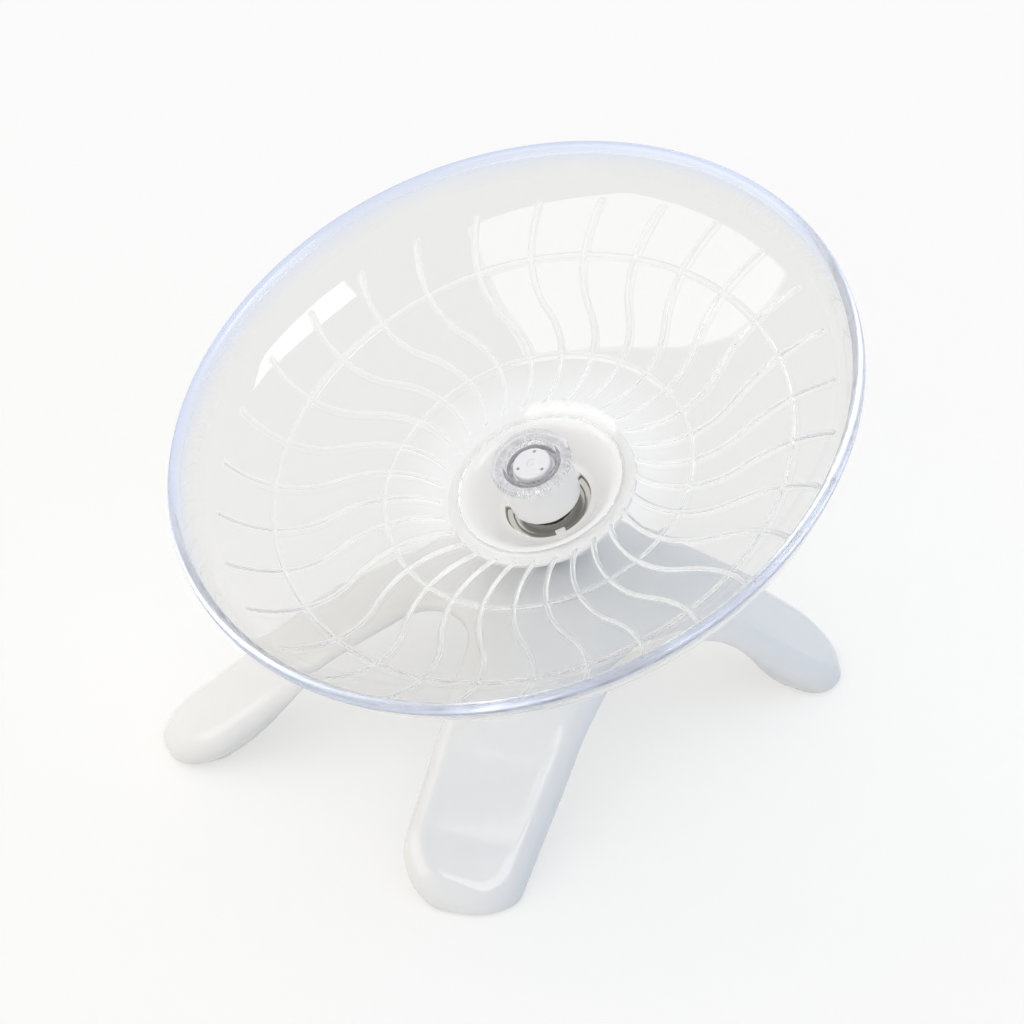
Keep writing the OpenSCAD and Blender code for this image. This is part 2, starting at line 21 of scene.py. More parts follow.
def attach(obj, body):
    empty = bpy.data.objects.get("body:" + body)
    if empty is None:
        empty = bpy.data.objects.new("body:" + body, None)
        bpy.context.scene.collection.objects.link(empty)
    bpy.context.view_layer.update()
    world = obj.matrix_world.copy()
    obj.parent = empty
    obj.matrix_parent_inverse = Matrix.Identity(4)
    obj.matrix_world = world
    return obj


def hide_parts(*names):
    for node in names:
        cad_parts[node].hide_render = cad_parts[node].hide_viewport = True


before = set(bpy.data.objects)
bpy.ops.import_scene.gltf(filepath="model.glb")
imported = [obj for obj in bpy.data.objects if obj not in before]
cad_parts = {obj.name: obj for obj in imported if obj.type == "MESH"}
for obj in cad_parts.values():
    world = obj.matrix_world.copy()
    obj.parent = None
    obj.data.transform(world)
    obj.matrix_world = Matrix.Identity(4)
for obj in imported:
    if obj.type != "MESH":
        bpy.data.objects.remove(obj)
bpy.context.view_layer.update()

scene = bpy.context.scene
mm = 0.001

# %% [markdown]
# ## The leaning axis
#
# Everything round lies on one axis, which leans 23 degrees to the front. It is easier to shape a
# round piece upright, about its own Z, and then to lean the finished mesh with one matrix. Height
# 0 on that axis is the bearing's top face.

# %% The axis
tilt = math.radians(23)
hub_depth = 34.5
rim_height = 85.0
hub_y = hub_depth * math.sin(tilt)
hub_z = rim_height - hub_depth * math.cos(tilt)
on_axis = Matrix.Translation((0, hub_y * mm, hub_z * mm)) @ Matrix.Rotation(tilt, 4, "X")
upright = Matrix.Identity(4)
print("hub, mm:", round(hub_y, 2), round(hub_z, 2))

# %% [markdown]
# ## Helpers for meshes
#
# Three helpers do most of the modelling. The first makes an object from points and faces and
# leaves it at the origin, with its place in its mesh. The second rounds the corners of a section,
# because moulded and turned parts have no knife edges, and it is the rounded edge that catches
# the light. The third turns a section round the axis.

# %% Make a piece from points and faces
sharp_degrees = 38


def add_piece(name, points, faces, place=on_axis, sharp=sharp_degrees):
    mesh = bpy.data.meshes.new(name)
    mesh.from_pydata([place @ (Vector(p) * mm) for p in points], [], faces)
    work = bmesh.new()
    work.from_mesh(mesh)
    bmesh.ops.remove_doubles(work, verts=work.verts, dist=1e-6)
    bmesh.ops.dissolve_degenerate(work, edges=work.edges, dist=1e-7)
    bmesh.ops.recalc_face_normals(work, faces=work.faces)
    work.to_mesh(mesh)
    work.free()
    mesh.shade_smooth()
    mesh.set_sharp_from_angle(angle=math.radians(sharp))
    piece = bpy.data.objects.new(name, mesh)
    scene.collection.objects.link(piece)
    return piece


# %% Round the corners of a section
def rounded(corners, steps=6):
    """Corners are (radius from the axis, height, corner radius), in order round the section."""
    outline = []
    for i, (x, y, r) in enumerate(corners):
        corner = Vector((x, y))
        if r == 0:
            outline.append(corner)
            continue
        back = (Vector(corners[i - 1][:2]) - corner).normalized()
        on = (Vector(corners[(i + 1) % len(corners)][:2]) - corner).normalized()
        half = back.angle(on) / 2
        centre = corner + (back + on).normalized() * (r / math.sin(half))
        start = corner + back * (r / math.tan(half)) - centre
        end = corner + on * (r / math.tan(half)) - centre
        a0 = math.atan2(start.y, start.x)
        turn = (math.atan2(end.y, end.x) - a0 + math.pi) % math.tau - math.pi
        for k in range(steps + 1):
            a = a0 + turn * k / steps
            outline.append(centre + r * Vector((math.cos(a), math.sin(a))))
    return outline


# %% Turn a section round the axis
def lathe_shape(section, steps=160):
    n = len(section)
    points = []
    for k in range(steps):
        a = math.tau * k / steps
        points += [(p[0] * math.cos(a), p[0] * math.sin(a), p[1]) for p in section]
    faces = [(k * n + i, (k + 1) % steps * n + i, (k + 1) % steps * n + (i + 1) % n, k * n + (i + 1) % n)
             for k in range(steps) for i in range(n)]
    return points, faces


def lathe(name, section, steps=160, place=on_axis, sharp=sharp_degrees):
    points, faces = lathe_shape(section, steps)
    return add_piece(name, points, faces, place, sharp)


# %% Put several shapes into one piece
def join_shapes(shapes):
    points, faces = [], []
    for more_points, more_faces in shapes:
        start = len(points)
        points += more_points
        faces += [tuple(start + i for i in f) for f in more_faces]
    return points, faces


# %% [markdown]
# ## Helpers for node trees
#
# Shader trees and geometry trees are wired the same way: make a node, set its inputs, link it.
# One small helper takes a node's type and a dictionary of inputs, where a value is either a plain
# number or the socket of another node.

# %% Wire nodes
def add_node(tree, kind, inputs=None, **settings):
    node = tree.nodes.new(kind)
    for key, value in settings.items():
        setattr(node, key, value)
    for key, value in (inputs or {}).items():
        if isinstance(value, bpy.types.NodeSocket):
            tree.links.new(value, node.inputs[key])
        else:
            node.inputs[key].default_value = value
    return node


def new_group(name, kind, ins, outs):
    """A node group with named sockets; ins and outs are {name: (socket type, default)}."""
    tree = bpy.data.node_groups.new(name, kind)
    for label, (socket, default) in ins.items():
        item = tree.interface.new_socket(label, in_out="INPUT", socket_type=socket)
        if default is not None:
            item.default_value = default
    for label, socket in outs.items():
        tree.interface.new_socket(label, in_out="OUTPUT", socket_type=socket)
    return tree, tree.nodes.new("NodeGroupInput"), tree.nodes.new("NodeGroupOutput")


# %% Run a geometry tree and keep its result as a plain mesh
def run_tree(piece, tree, values):
    modifier = piece.modifiers.new("shape", "NODES")
    modifier.node_group = tree
    for item in tree.interface.items_tree:
        if item.in_out == "INPUT" and item.name in values:
            modifier[item.identifier] = values[item.name]
    seen = piece.evaluated_get(bpy.context.evaluated_depsgraph_get())
    mesh = bpy.data.meshes.new_from_object(seen)
    piece.modifiers.remove(modifier)
    piece.data = mesh
    mesh.name = piece.name
    return piece


# %% [markdown]
# ## Finishes
#
# Four kinds of surface make up the wheel: clear plastic, glossy white plastic, steel and rubber.
# Moulded plastic is never a perfect mirror. It has a faint waviness where it shrank in the mould
# and a fine haze where it has been handled. Both come from one shader group, placed in each
# plastic with its own strengths.

# %% Shader group: moulded surface
def moulded_group():
    tree, given, result = new_group(
        "moulded surface", "ShaderNodeTree",
        {"Wave Scale": ("NodeSocketFloat", 60.0), "Wave Height": ("NodeSocketFloat", 0.3),
         "Haze Scale": ("NodeSocketFloat", 400.0), "Roughness": ("NodeSocketFloat", 0.2),
         "Haze": ("NodeSocketFloat", 0.06)},
        {"Roughness": "NodeSocketFloat", "Height": "NodeSocketFloat"})
    place = add_node(tree, "ShaderNodeTexCoord")
    waves = add_node(tree, "ShaderNodeTexNoise",
                     {"Vector": place.outputs["Object"], "Scale": given.outputs["Wave Scale"], "Detail": 1.0})
    haze = add_node(tree, "ShaderNodeTexNoise",
                    {"Vector": place.outputs["Object"], "Scale": given.outputs["Haze Scale"], "Detail": 4.0})
    height = add_node(tree, "ShaderNodeMath", {0: waves.outputs[0], 1: given.outputs["Wave Height"]},
                      operation="MULTIPLY")
    middle = add_node(tree, "ShaderNodeMath", {0: haze.outputs[0], 1: 0.5}, operation="SUBTRACT")
    rough = add_node(tree, "ShaderNodeMath", {0: middle.outputs[0], 1: given.outputs["Haze"],
                                              2: given.outputs["Roughness"]}, operation="MULTIPLY_ADD")
    tree.links.new(rough.outputs[0], result.inputs["Roughness"])
    tree.links.new(height.outputs[0], result.inputs["Height"])
    return tree


moulded = moulded_group()

# %% [markdown]
# The saucer's floor is nearly colourless. Its rim is a little softer in its polish, and its base colour
# there is painted blue to lavender: painted light, standing in for the light that travels far inside the
# thick lip. Round the hub the floor is painted lighter, as painted light that lifts the shade there.
# Distance from the leaning axis tells these apart, so a second group measures it.

# %% Shader group: distance from the leaning axis, in metres
# Radii at which the rim's painted blue light and the hub's painted lightening start and end
painted_lip_light_from, painted_lip_light_to = 0.0845, 0.0875
painted_hub_light_from, painted_hub_light_to = 0.026, 0.040


def axis_group():
    tree, given, result = new_group(
        "distance from axis", "ShaderNodeTree",
        {"Inner Radius": ("NodeSocketFloat", painted_lip_light_from),
         "Outer Radius": ("NodeSocketFloat", painted_lip_light_to)},
        {"Share": "NodeSocketFloat"})
    place = add_node(tree, "ShaderNodeTexCoord")
    inverse = on_axis.inverted()
    turn = inverse.to_euler()
    lean = add_node(tree, "ShaderNodeMapping", {"Vector": place.outputs["Object"],
                                                "Location": inverse.translation[:], "Rotation": turn[:]},
                    vector_type="POINT")
    parts = add_node(tree, "ShaderNodeSeparateXYZ", {0: lean.outputs[0]})
    flat = add_node(tree, "ShaderNodeCombineXYZ", {0: parts.outputs[0], 1: parts.outputs[1]})
    length = add_node(tree, "ShaderNodeVectorMath", {0: flat.outputs[0]}, operation="LENGTH")
    share = add_node(tree, "ShaderNodeMapRange",
                     {"Value": length.outputs["Value"], "From Min": given.outputs["Inner Radius"],
                      "From Max": given.outputs["Outer Radius"]}, interpolation_type="SMOOTHSTEP")
    tree.links.new(share.outputs["Result"], result.inputs["Share"])
    return tree


axis_distance = axis_group()

# %% A plastic finish
def plastic(name, colour, rough, wave=0.3, haze=0.06, wave_scale=60.0, bump=0.1, **sockets):
    finish = bpy.data.materials.new(name)
    finish.use_nodes = True
    tree = finish.node_tree
    shader = tree.nodes["Principled BSDF"]
    shader.inputs["Base Color"].default_value = (*colour, 1)
    shader.inputs["IOR"].default_value = 1.5
    for key, value in sockets.items():
        shader.inputs[key.replace("_", " ").title()].default_value = value
    surface = add_node(tree, "ShaderNodeGroup", node_tree=moulded)
    surface.inputs["Wave Scale"].default_value = wave_scale
    surface.inputs["Wave Height"].default_value = wave
    surface.inputs["Roughness"].default_value = rough
    surface.inputs["Haze"].default_value = haze
    dent = add_node(tree, "ShaderNodeBump", {"Height": surface.outputs["Height"], "Strength": bump,
                                             "Distance": 0.001})
    tree.links.new(surface.outputs["Roughness"], shader.inputs["Roughness"])
    tree.links.new(dent.outputs[0], shader.inputs["Normal"])
    return finish


white_stand = plastic("white plastic, stand", (0.86, 0.855, 0.845), 0.1, wave=0.3)
white_hub = plastic("white plastic, hub", (0.94, 0.94, 0.935), 0.2)
clear_saucer = plastic("clear plastic, saucer", (0.87, 0.868, 0.86), 0.02, wave=0.05, haze=0.01,
                       transmission_weight=1.0)
clear_cap = plastic("clear plastic, cap", (0.95, 0.95, 0.985), 0.2, wave=0.0, haze=0.02,
                    transmission_weight=1.0)
white_screw = plastic("white nylon, screw", (0.85, 0.85, 0.88), 0.2)
pad_rubber = plastic("rubber, pads", (0.30, 0.30, 0.30), 0.7, wave=0.8, haze=0.15, wave_scale=900.0)
cage_nylon = plastic("nylon, ball cage", (0.62, 0.55, 0.40), 0.5)

# %% Paint blue light into the saucer's rim, and paint the floor lighter round the hub to lift its shade
def paint_lip_light_and_hub_light(finish, painted_hub_light_colour, floor_colour, painted_lip_light_colour, rim_rough):
    tree = finish.node_tree
    shader = tree.nodes["Principled BSDF"]
    hub_light_share = add_node(tree, "ShaderNodeGroup", node_tree=axis_distance)
    hub_light_share.inputs["Inner Radius"].default_value = painted_hub_light_from
    hub_light_share.inputs["Outer Radius"].default_value = painted_hub_light_to
    # painted light: the floor's colour is lighter round the hub, to lift the shade there
    floor_and_hub_light = add_node(tree, "ShaderNodeMix", {"Factor": hub_light_share.outputs["Share"]}, data_type="RGBA")
    floor_and_hub_light.inputs[6].default_value = (*painted_hub_light_colour, 1)
    floor_and_hub_light.inputs[7].default_value = (*floor_colour, 1)
    # painted light: the rim's colour turns blue in place of light carried inside the lip; the same share
    # makes the rim rougher
    share = add_node(tree, "ShaderNodeGroup", node_tree=axis_distance)
    mix = add_node(tree, "ShaderNodeMix", {"Factor": share.outputs["Share"], 6: floor_and_hub_light.outputs[2]},
                   data_type="RGBA")
    mix.inputs[7].default_value = (*painted_lip_light_colour, 1)
    tree.links.new(mix.outputs[2], shader.inputs["Base Color"])
    polish = shader.inputs["Roughness"].links[0].from_socket
    level = add_node(tree, "ShaderNodeMix", {"Factor": share.outputs["Share"], 2: polish, 3: rim_rough},
                     data_type="FLOAT")
    tree.links.new(level.outputs[0], shader.inputs["Roughness"])


# painted light: lighter round the hub and blue at the rim
paint_lip_light_and_hub_light(clear_saucer, (0.93, 0.93, 0.93), (0.87, 0.868, 0.86), (0.68, 0.76, 0.99), 0.22)


# %% Dull the ribs and rings, whose mould was left unpolished, and paint them white as a painted highlight
def dull_relief_and_paint_highlight(finish, dull, pale):
    tree = finish.node_tree
    shader = tree.nodes["Principled BSDF"]
    relief_mask = add_node(tree, "ShaderNodeAttribute")
    relief_mask.attribute_name = "relief"
    smooth = shader.inputs["Roughness"].links[0].from_socket
    level = add_node(tree, "ShaderNodeMix", {"Factor": relief_mask.outputs["Fac"], 2: smooth, 3: dull},
                     data_type="FLOAT")
    plain = shader.inputs["Base Color"].links[0].from_socket
    # painted highlight: the ribs and rings are painted white, paler than the rest of the saucer
    tone = add_node(tree, "ShaderNodeMix", {"Factor": relief_mask.outputs["Fac"], 6: plain}, data_type="RGBA")
    tone.inputs[7].default_value = (*pale, 1)
    tree.links.new(level.outputs[0], shader.inputs["Roughness"])
    tree.links.new(tone.outputs[2], shader.inputs["Base Color"])


dull_relief_and_paint_highlight(clear_saucer, 0.55, (1.0, 1.0, 1.0))

# %% [markdown]
# Steel is metal all through. Turned rings carry fine marks that run round them, and zinc plate is
# duller and slightly blotchy. Noise on stretched coordinates gives the marks.

# %% A steel finish
def steel(name, colour, rough, mark=0.08, scale=900.0, stretch=(1, 1, 6)):
    finish = bpy.data.materials.new(name)
    finish.use_nodes = True
    tree = finish.node_tree
    shader = tree.nodes["Principled BSDF"]
    shader.inputs["Metallic"].default_value = 1.0
    place = add_node(tree, "ShaderNodeTexCoord")
    lean = add_node(tree, "ShaderNodeMapping", {"Vector": place.outputs["Object"], "Scale": stretch,
                                                "Rotation": (-tilt, 0, 0)})
    marks = add_node(tree, "ShaderNodeTexNoise", {"Vector": lean.outputs[0], "Scale": scale, "Detail": 3.0})
    level = add_node(tree, "ShaderNodeMapRange", {"Value": marks.outputs[0], "To Min": rough - mark,
                                                  "To Max": rough + mark})
    tone = add_node(tree, "ShaderNodeMix", {"Factor": marks.outputs[0]}, data_type="RGBA")
    tone.inputs[6].default_value = (*[c * 0.9 for c in colour], 1)
    tone.inputs[7].default_value = (*[min(c * 1.06, 1) for c in colour], 1)
    tree.links.new(level.outputs["Result"], shader.inputs["Roughness"])
    tree.links.new(tone.outputs[2], shader.inputs["Base Color"])
    return finish


race_steel = steel("steel, races", (0.60, 0.58, 0.54), 0.14)
shield_steel = steel("steel, shields", (0.50, 0.49, 0.47), 0.22)
ball_steel = steel("steel, balls", (0.80, 0.80, 0.80), 0.08, mark=0.02)
zinc_steel = steel("zinc-plated steel", (0.74, 0.74, 0.75), 0.32, scale=300.0, stretch=(1, 1, 1))

# %% [markdown]
# ## The saucer
#
# The saucer is one moulding: a floor that curves up to a steep rim wall with a round lip, 30 S
# ribs and two thin rings, all in one skin of plastic. Light bends at every face of clear plastic,
# so ribs that only overlap the floor would show as separate bodies inside it. The whole saucer is
# therefore one closed mesh. A slice of 12 degrees holds one rib, with its columns bunched along
# the rib, and Geometry Nodes turn the slice round the axis 30 times and weld it.

# %% The saucer's section
rim_d, lip_d, rim_wall_h, rim_draft, wall = 176.0, 3.2, 9.0, math.radians(24), 1.8
floor_up, bowl_power = 9.4, 3.8
bowl_rise = hub_depth - rim_wall_h - floor_up
hub_r, hub_dip, dip_w = 20.8, 1.2, 5.2
lip_r = rim_d / 2 - lip_d / 2
wall_top_r = lip_r - wall / 2
wall_foot_r = wall_top_r - rim_wall_h * math.tan(rim_draft)
wall_foot_w = hub_depth - rim_wall_h


def floor_w(r):
    dip = hub_dip * max((hub_r + dip_w - r) / dip_w, 0) ** 2
    return floor_up - dip + bowl_rise * (r / wall_foot_r) ** bowl_power


bend_start = 0.955
bend_r0 = wall_foot_r * bend_start
bend_w0 = floor_w(bend_r0)
bend_slope = bowl_rise * bowl_power * bend_start ** (bowl_power - 1) / wall_foot_r
wall_slope = 1 / math.tan(rim_draft)
bend_r1 = ((wall_foot_w - bend_w0 + bend_slope * bend_r0 - wall_slope * wall_foot_r)
           / (bend_slope - wall_slope))
bend_w1 = bend_w0 + bend_slope * (bend_r1 - bend_r0)
bend_r2 = bend_r1 + (bend_r1 - bend_r0) * math.tan(rim_draft)
bend_w2 = bend_w1 + (bend_r1 - bend_r0)

# %% The rib's path, as an angle for each radius
inner_bend, outer_bend, rib_swing, rib_offset = 36.0, 68.0, 11.3, 0.7
rib_start, rib_rim_gap, rib_w, rib_h = 24.8, 3.7, 1.1, 0.8
rib_end = wall_foot_r - rib_rim_gap
rib_mid = (inner_bend + outer_bend) / 2
arc_r = ((outer_bend - inner_bend) ** 2 + rib_swing ** 2) / (4 * rib_swing)


def rib_y(x):
    if x < rib_mid:
        return rib_offset + arc_r - math.sqrt(arc_r ** 2 - (x - inner_bend) ** 2)
    return rib_offset + rib_swing - arc_r + math.sqrt(arc_r ** 2 - (x - outer_bend) ** 2)


path = [(math.hypot(x, rib_y(x)), math.atan2(rib_y(x), x))
        for x in [rib_start + (rib_end - rib_start) * k / 400 for k in range(401)]]


def rib_angle(r):
    if r <= path[0][0]:
        return path[0][1]
    for (r0, a0), (r1, a1) in zip(path, path[1:]):
        if r <= r1:
            return a0 + (a1 - a0) * (r - r0) / (r1 - r0)
    return path[-1][1]


print("rib from radius", round(path[0][0], 1), "to", round(path[-1][0], 1))

# %% How high the ribs and rings stand
ridge_reach = 0.68


def ridge(off, width):
    """A soft ridge: 1 on its crest, 0 from ridge_reach widths on."""
    x = min(abs(off) / (ridge_reach * width), 1)
    return (1 - x * x) ** 1.5 if x < 1 else 0.0


def soft_step(x):
    x = min(max(x, 0), 1)
    return x * x * (3 - 2 * x)


rings = ((39.4, 0.6), (66.0, 0.6))
ring_w = 1.0
first_r, last_r = path[0][0], path[-1][0]
end_reach, end_len = 0.5, 0.9


def relief(r, across):
    ends = soft_step((r - first_r + end_reach) / end_len) * soft_step((last_r + end_reach - r) / end_len)
    rib = rib_h * ridge(across, rib_w) * ends
    return max([rib] + [h * ridge(r - ring, ring_w) for ring, h in rings])


# %% Rows of the slice: along the inner face, round the lip and back along the outer face
floor_steps, edge_row_in, least_row = 44, 0.15, 0.12


def floor_radii():
    radii = {hub_r, hub_r + edge_row_in}
    span = bend_r0 - hub_r - 0.35
    radii |= {hub_r + edge_row_in + span * k / floor_steps for k in range(floor_steps + 1)}
    for end in (first_r, last_r):
        radii |= {end + d for d in (-0.5, -0.3, -0.1, 0.1, 0.3, 0.5)}
    for ring, _ in rings:
        radii |= {ring + d for d in (-0.68, -0.5, -0.33, -0.16, 0.0, 0.16, 0.33, 0.5, 0.68)}
    kept = []
    for r in sorted(radii):
        if r <= bend_r0 and (not kept or r - kept[-1] > least_row):
            kept.append(r)
    return kept


def bend_point(t):
    return Vector(((1 - t) ** 2 * bend_r0 + 2 * t * (1 - t) * bend_r1 + t * t * bend_r2,
                   (1 - t) ** 2 * bend_w0 + 2 * t * (1 - t) * bend_w1 + t * t * bend_w2))


inner = [Vector((r, floor_w(r))) for r in floor_radii()]
floor_rows = len(inner)
bend_steps, lip_steps = 20, 28
inner += [bend_point(k / bend_steps) for k in range(1, bend_steps + 1)]
bend_rows = len(inner)
wall_end = Vector((wall_top_r, hub_depth))
inner += [bend_point(1).lerp(wall_end, t) for t in (0.25, 0.5, 0.75)]


def outer_point(k):
    d = (inner[min(k + 1, len(inner) - 1)] - inner[max(k - 1, 0)]).normalized()
    return inner[k] + wall * Vector((d.y, -d.x))


lip_centre = Vector((lip_r, hub_depth))


def meet_lip(p, d):
    """The angle at which a face of the wall, through p along d, runs into the round lip."""
    to = p - lip_centre
    reach = -to.dot(d) - math.sqrt(to.dot(d) ** 2 - to.dot(to) + (lip_d / 2) ** 2)
    hit = to + reach * d
    return math.atan2(hit.y, hit.x)


wall_d = (wall_end - inner[-1]).normalized()
lip_from = meet_lip(inner[-1], wall_d) + math.tau
lip_to = meet_lip(outer_point(len(inner) - 1), wall_d)
lip = [lip_centre + lip_d / 2 * Vector((math.cos(a), math.sin(a)))
       for a in [lip_from + (lip_to - lip_from) * k / lip_steps for k in range(lip_steps + 1)]]
outer = [outer_point(k) for k in range(len(inner) - 1, floor_rows - 1, -1)]
outer += [outer_point(k) for k in range(floor_rows - 1, 0, -2)]
foot = [Vector((hub_r, floor_w(hub_r) - wall)), Vector((hub_r, floor_w(hub_r) - wall / 2))]
section = inner + lip + outer + foot
print("slice rows:", len(section))

# %% Build the slice and turn it round the axis
rib_count = 30
slice_turn = math.tau / rib_count
near = (-0.9, -0.74, -0.58, -0.42, -0.26, -0.1, 0.1, 0.26, 0.42, 0.58, 0.74, 0.9)
between, far_off = 4, 9.0
even_gap, even_out, even_in = 0.6, 3, 2
mask_full = 0.5


def slice_columns(r):
    """(angle, distance across the rib) of each column at radius r, evenly spaced where no rib is."""
    a = rib_angle(r)
    slope = r * (rib_angle(r + 0.2) - rib_angle(r - 0.2)) / 0.4
    lean = math.sqrt(1 + slope * slope)
    columns = [(a + off * lean / r, off) for off in near]
    first, last = columns[-1][0], columns[0][0] + slice_turn
    columns += [(first + (last - first) * k / (between + 1), far_off) for k in range(1, between + 1)]
    columns.append((last, near[0]))
    even = max(soft_step((r - last_r - even_gap) / even_out), soft_step((first_r - even_gap - r) / even_in))
    step, start = slice_turn / (len(columns) - 1), columns[0][0]
    return [(angle + (start + step * k - angle) * even, off) for k, (angle, off) in enumerate(columns)]


points, heights = [], []
for i, p in enumerate(section):
    for a, across in slice_columns(p.x):
        up = relief(p.x, across) if i < bend_rows else 0
        points.append((p.x * math.cos(a), p.x * math.sin(a), p.y + up))
        heights.append(min(up / mask_full, 1))
width = len(near) + between + 1
faces = [(i * width + k, i * width + k + 1, (i + 1) % len(section) * width + k + 1,
          (i + 1) % len(section) * width + k) for i in range(len(section)) for k in range(width - 1)]
saucer = add_piece("saucer", points, faces, place=upright, sharp=180)
mask = saucer.data.attributes.new("relief", "FLOAT", "POINT")
mask.data.foreach_set("value", heights)
print("slice faces:", len(saucer.data.polygons))

# %% [markdown]
# The tree that turns a shape round the axis serves two pieces: the slices of the saucer and the
# retaining tabs in the hub. Its inputs are the number of copies, the distance at which neighbours
# are welded, and the finish.

# %% Geometry tree: copies round the axis
def copies_tree():
    tree, given, result = new_group(
        "copies round the axis", "GeometryNodeTree",
        {"Geometry": ("NodeSocketGeometry", None), "Count": ("NodeSocketInt", 6),
         "Weld": ("NodeSocketFloat", 0.00001), "Finish": ("NodeSocketMaterial", None)},
        {"Geometry": "NodeSocketGeometry"})
    spots = add_node(tree, "GeometryNodePoints", {"Count": given.outputs["Count"]})
    step = add_node(tree, "ShaderNodeMath", {0: math.tau, 1: given.outputs["Count"]}, operation="DIVIDE")
    number = add_node(tree, "GeometryNodeInputIndex")
    angle = add_node(tree, "ShaderNodeMath", {0: number.outputs[0], 1: step.outputs[0]}, operation="MULTIPLY")
    turn = add_node(tree, "FunctionNodeAxisAngleToRotation", {"Axis": (0, 0, 1), "Angle": angle.outputs[0]})
    copies = add_node(tree, "GeometryNodeInstanceOnPoints",
                      {"Points": spots.outputs[0], "Instance": given.outputs["Geometry"],
                       "Rotation": turn.outputs[0]})
    real = add_node(tree, "GeometryNodeRealizeInstances", {0: copies.outputs[0]})
    weld = add_node(tree, "GeometryNodeMergeByDistance",
                    {"Geometry": real.outputs[0], "Distance": given.outputs["Weld"]})
    finish = add_node(tree, "GeometryNodeSetMaterial",
                      {"Geometry": weld.outputs[0], "Material": given.outputs["Finish"]})
    tree.links.new(finish.outputs[0], result.inputs["Geometry"])
    return tree


copies = copies_tree()

# %% The whole saucer
weld, tab_weld = 0.00001, 0.000001
run_tree(saucer, copies, {"Count": rib_count, "Weld": weld, "Finish": clear_saucer})


def finish_closed(piece, place=on_axis):
    work = bmesh.new()
    work.from_mesh(piece.data)
    open_edges = sum(1 for e in work.edges if not e.is_manifold)
    bmesh.ops.recalc_face_normals(work, faces=work.faces)
    if work.calc_volume(signed=True) < 0:
        bmesh.ops.reverse_faces(work, faces=work.faces)
    work.to_mesh(piece.data)
    work.free()
    piece.data.shade_smooth()
    piece.data.transform(place)
    print(piece.name, "open edges:", open_edges, "faces:", len(piece.data.polygons))


finish_closed(saucer)
saucer.visible_shadow = False
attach(saucer, "dish_body")
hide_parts("dish")

# %% [markdown]
# ## The white hub
#
# The hub is a funnel of white plastic, flush with the saucer's floor. It narrows to a throat and
# holds the bearing from outside. Three small tabs reach over the bearing's ring and keep it in.
# The funnel is turned; the tab is one rounded block that Geometry Nodes repeat three times.

# %% The funnel
bearing_r, bore_r, bearing_h = 11.0, 4.0, 7.0
throat_h, hub_wall, flange_w, flange_t, fit_gap = 0.9, 2.0, 3.4, 1.2, 0.05
seat_lip, funnel_steps = 1.2, 32
funnel = []
for k in range(funnel_steps + 1):
    t = k / funnel_steps
    funnel.append(Vector((hub_r + (bearing_r + fit_gap - hub_r) * t,
                          floor_w(hub_r) + (throat_h - floor_w(hub_r)) * soft_step(t))))
flange_top = floor_w(hub_r) - wall - fit_gap
housing_r = bearing_r + hub_wall
seat = rounded([
    (bearing_r, 0, 0), (bearing_r, -bearing_h, 0), (bearing_r - seat_lip, -bearing_h, 0.2),
    (bearing_r - seat_lip, -bearing_h - seat_lip, 0.3), (housing_r, -bearing_h - seat_lip, 0.5),
    (housing_r, 0, 1.5),
    (hub_r - flange_t, flange_top - 2 * flange_t, 0.8), (hub_r + flange_w, flange_top - flange_t, 0.3),
    (hub_r + flange_w, flange_top, 0.3), (hub_r, flange_top, 0)])
hub_points, hub_faces = lathe_shape(funnel + seat, 192)
hub = add_piece("hub", hub_points, hub_faces)


# %% A block with rounded edges
def soft_block(lo, hi, r, steps=3):
    """Points and faces of a box whose edges and corners are rounded by r."""
    work = bmesh.new()
    bmesh.ops.create_cube(work, size=1)
    size = Vector(hi) - Vector(lo)
    middle = (Vector(hi) + Vector(lo)) / 2
    for v in work.verts:
        v.co = Vector([c * s for c, s in zip(v.co, size)]) + middle
    bmesh.ops.bevel(work, geom=work.edges[:], offset=r, segments=steps, profile=0.5, affect="EDGES")
    work.verts.index_update()
    shape = [v.co.copy() for v in work.verts], [tuple(v.index for v in f.verts) for f in work.faces]
    work.free()
    return shape


# %% Three tabs, and the whole hub
tab_count, tab_w, tab_len, tab_t, tab_turn, tab_drop = 3, 2.6, 1.7, 0.7, math.radians(-32), 0.1
tab_top = throat_h - tab_drop
tab_shape = soft_block((bearing_r - tab_len, -tab_w / 2, tab_top - tab_t),
                       (bearing_r + hub_wall / 2, tab_w / 2, tab_top), 0.15)
tabs = add_piece("hub_tabs", *tab_shape, place=upright)
run_tree(tabs, copies, {"Count": tab_count, "Weld": tab_weld, "Finish": white_hub})
tabs.data.transform(on_axis @ Matrix.Rotation(tab_turn, 4, "Z"))
hub.data.materials.append(white_hub)


def merge(pieces):
    """Joins finished pieces into the first one, and keeps its name."""
    work = bmesh.new()
    for piece in pieces:
        work.from_mesh(piece.data)
    work.to_mesh(pieces[0].data)
    work.free()
    for piece in pieces[1:]:
        bpy.data.objects.remove(piece)
    pieces[0].data.shade_smooth()
    pieces[0].data.set_sharp_from_angle(angle=math.radians(sharp_degrees))
    return pieces[0]


hub = merge([hub, tabs])
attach(hub, "dish_body")
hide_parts("hub_housing")
print("hub faces:", len(hub.data.polygons))

# %% [markdown]
# ## The bearing
#
# The bearing is a standard deep-groove ball bearing, 22 mm across. Its ground rings have small
# chamfers and a groove for the balls, and a pressed steel shield closes the gap between them. The
# rings and shields are turned again here, because their thin bright edges are what the eye reads
# as steel. The balls and their cage lie hidden behind the shields and stay as the part's own.

# %% Races with their grooves
race_t, ball_d, ball_gap, chamfer = 1.9, 3.969, 0.04, 0.4
pitch_r = (bearing_r + bore_r) / 2
groove_r = ball_d / 2 + ball_gap


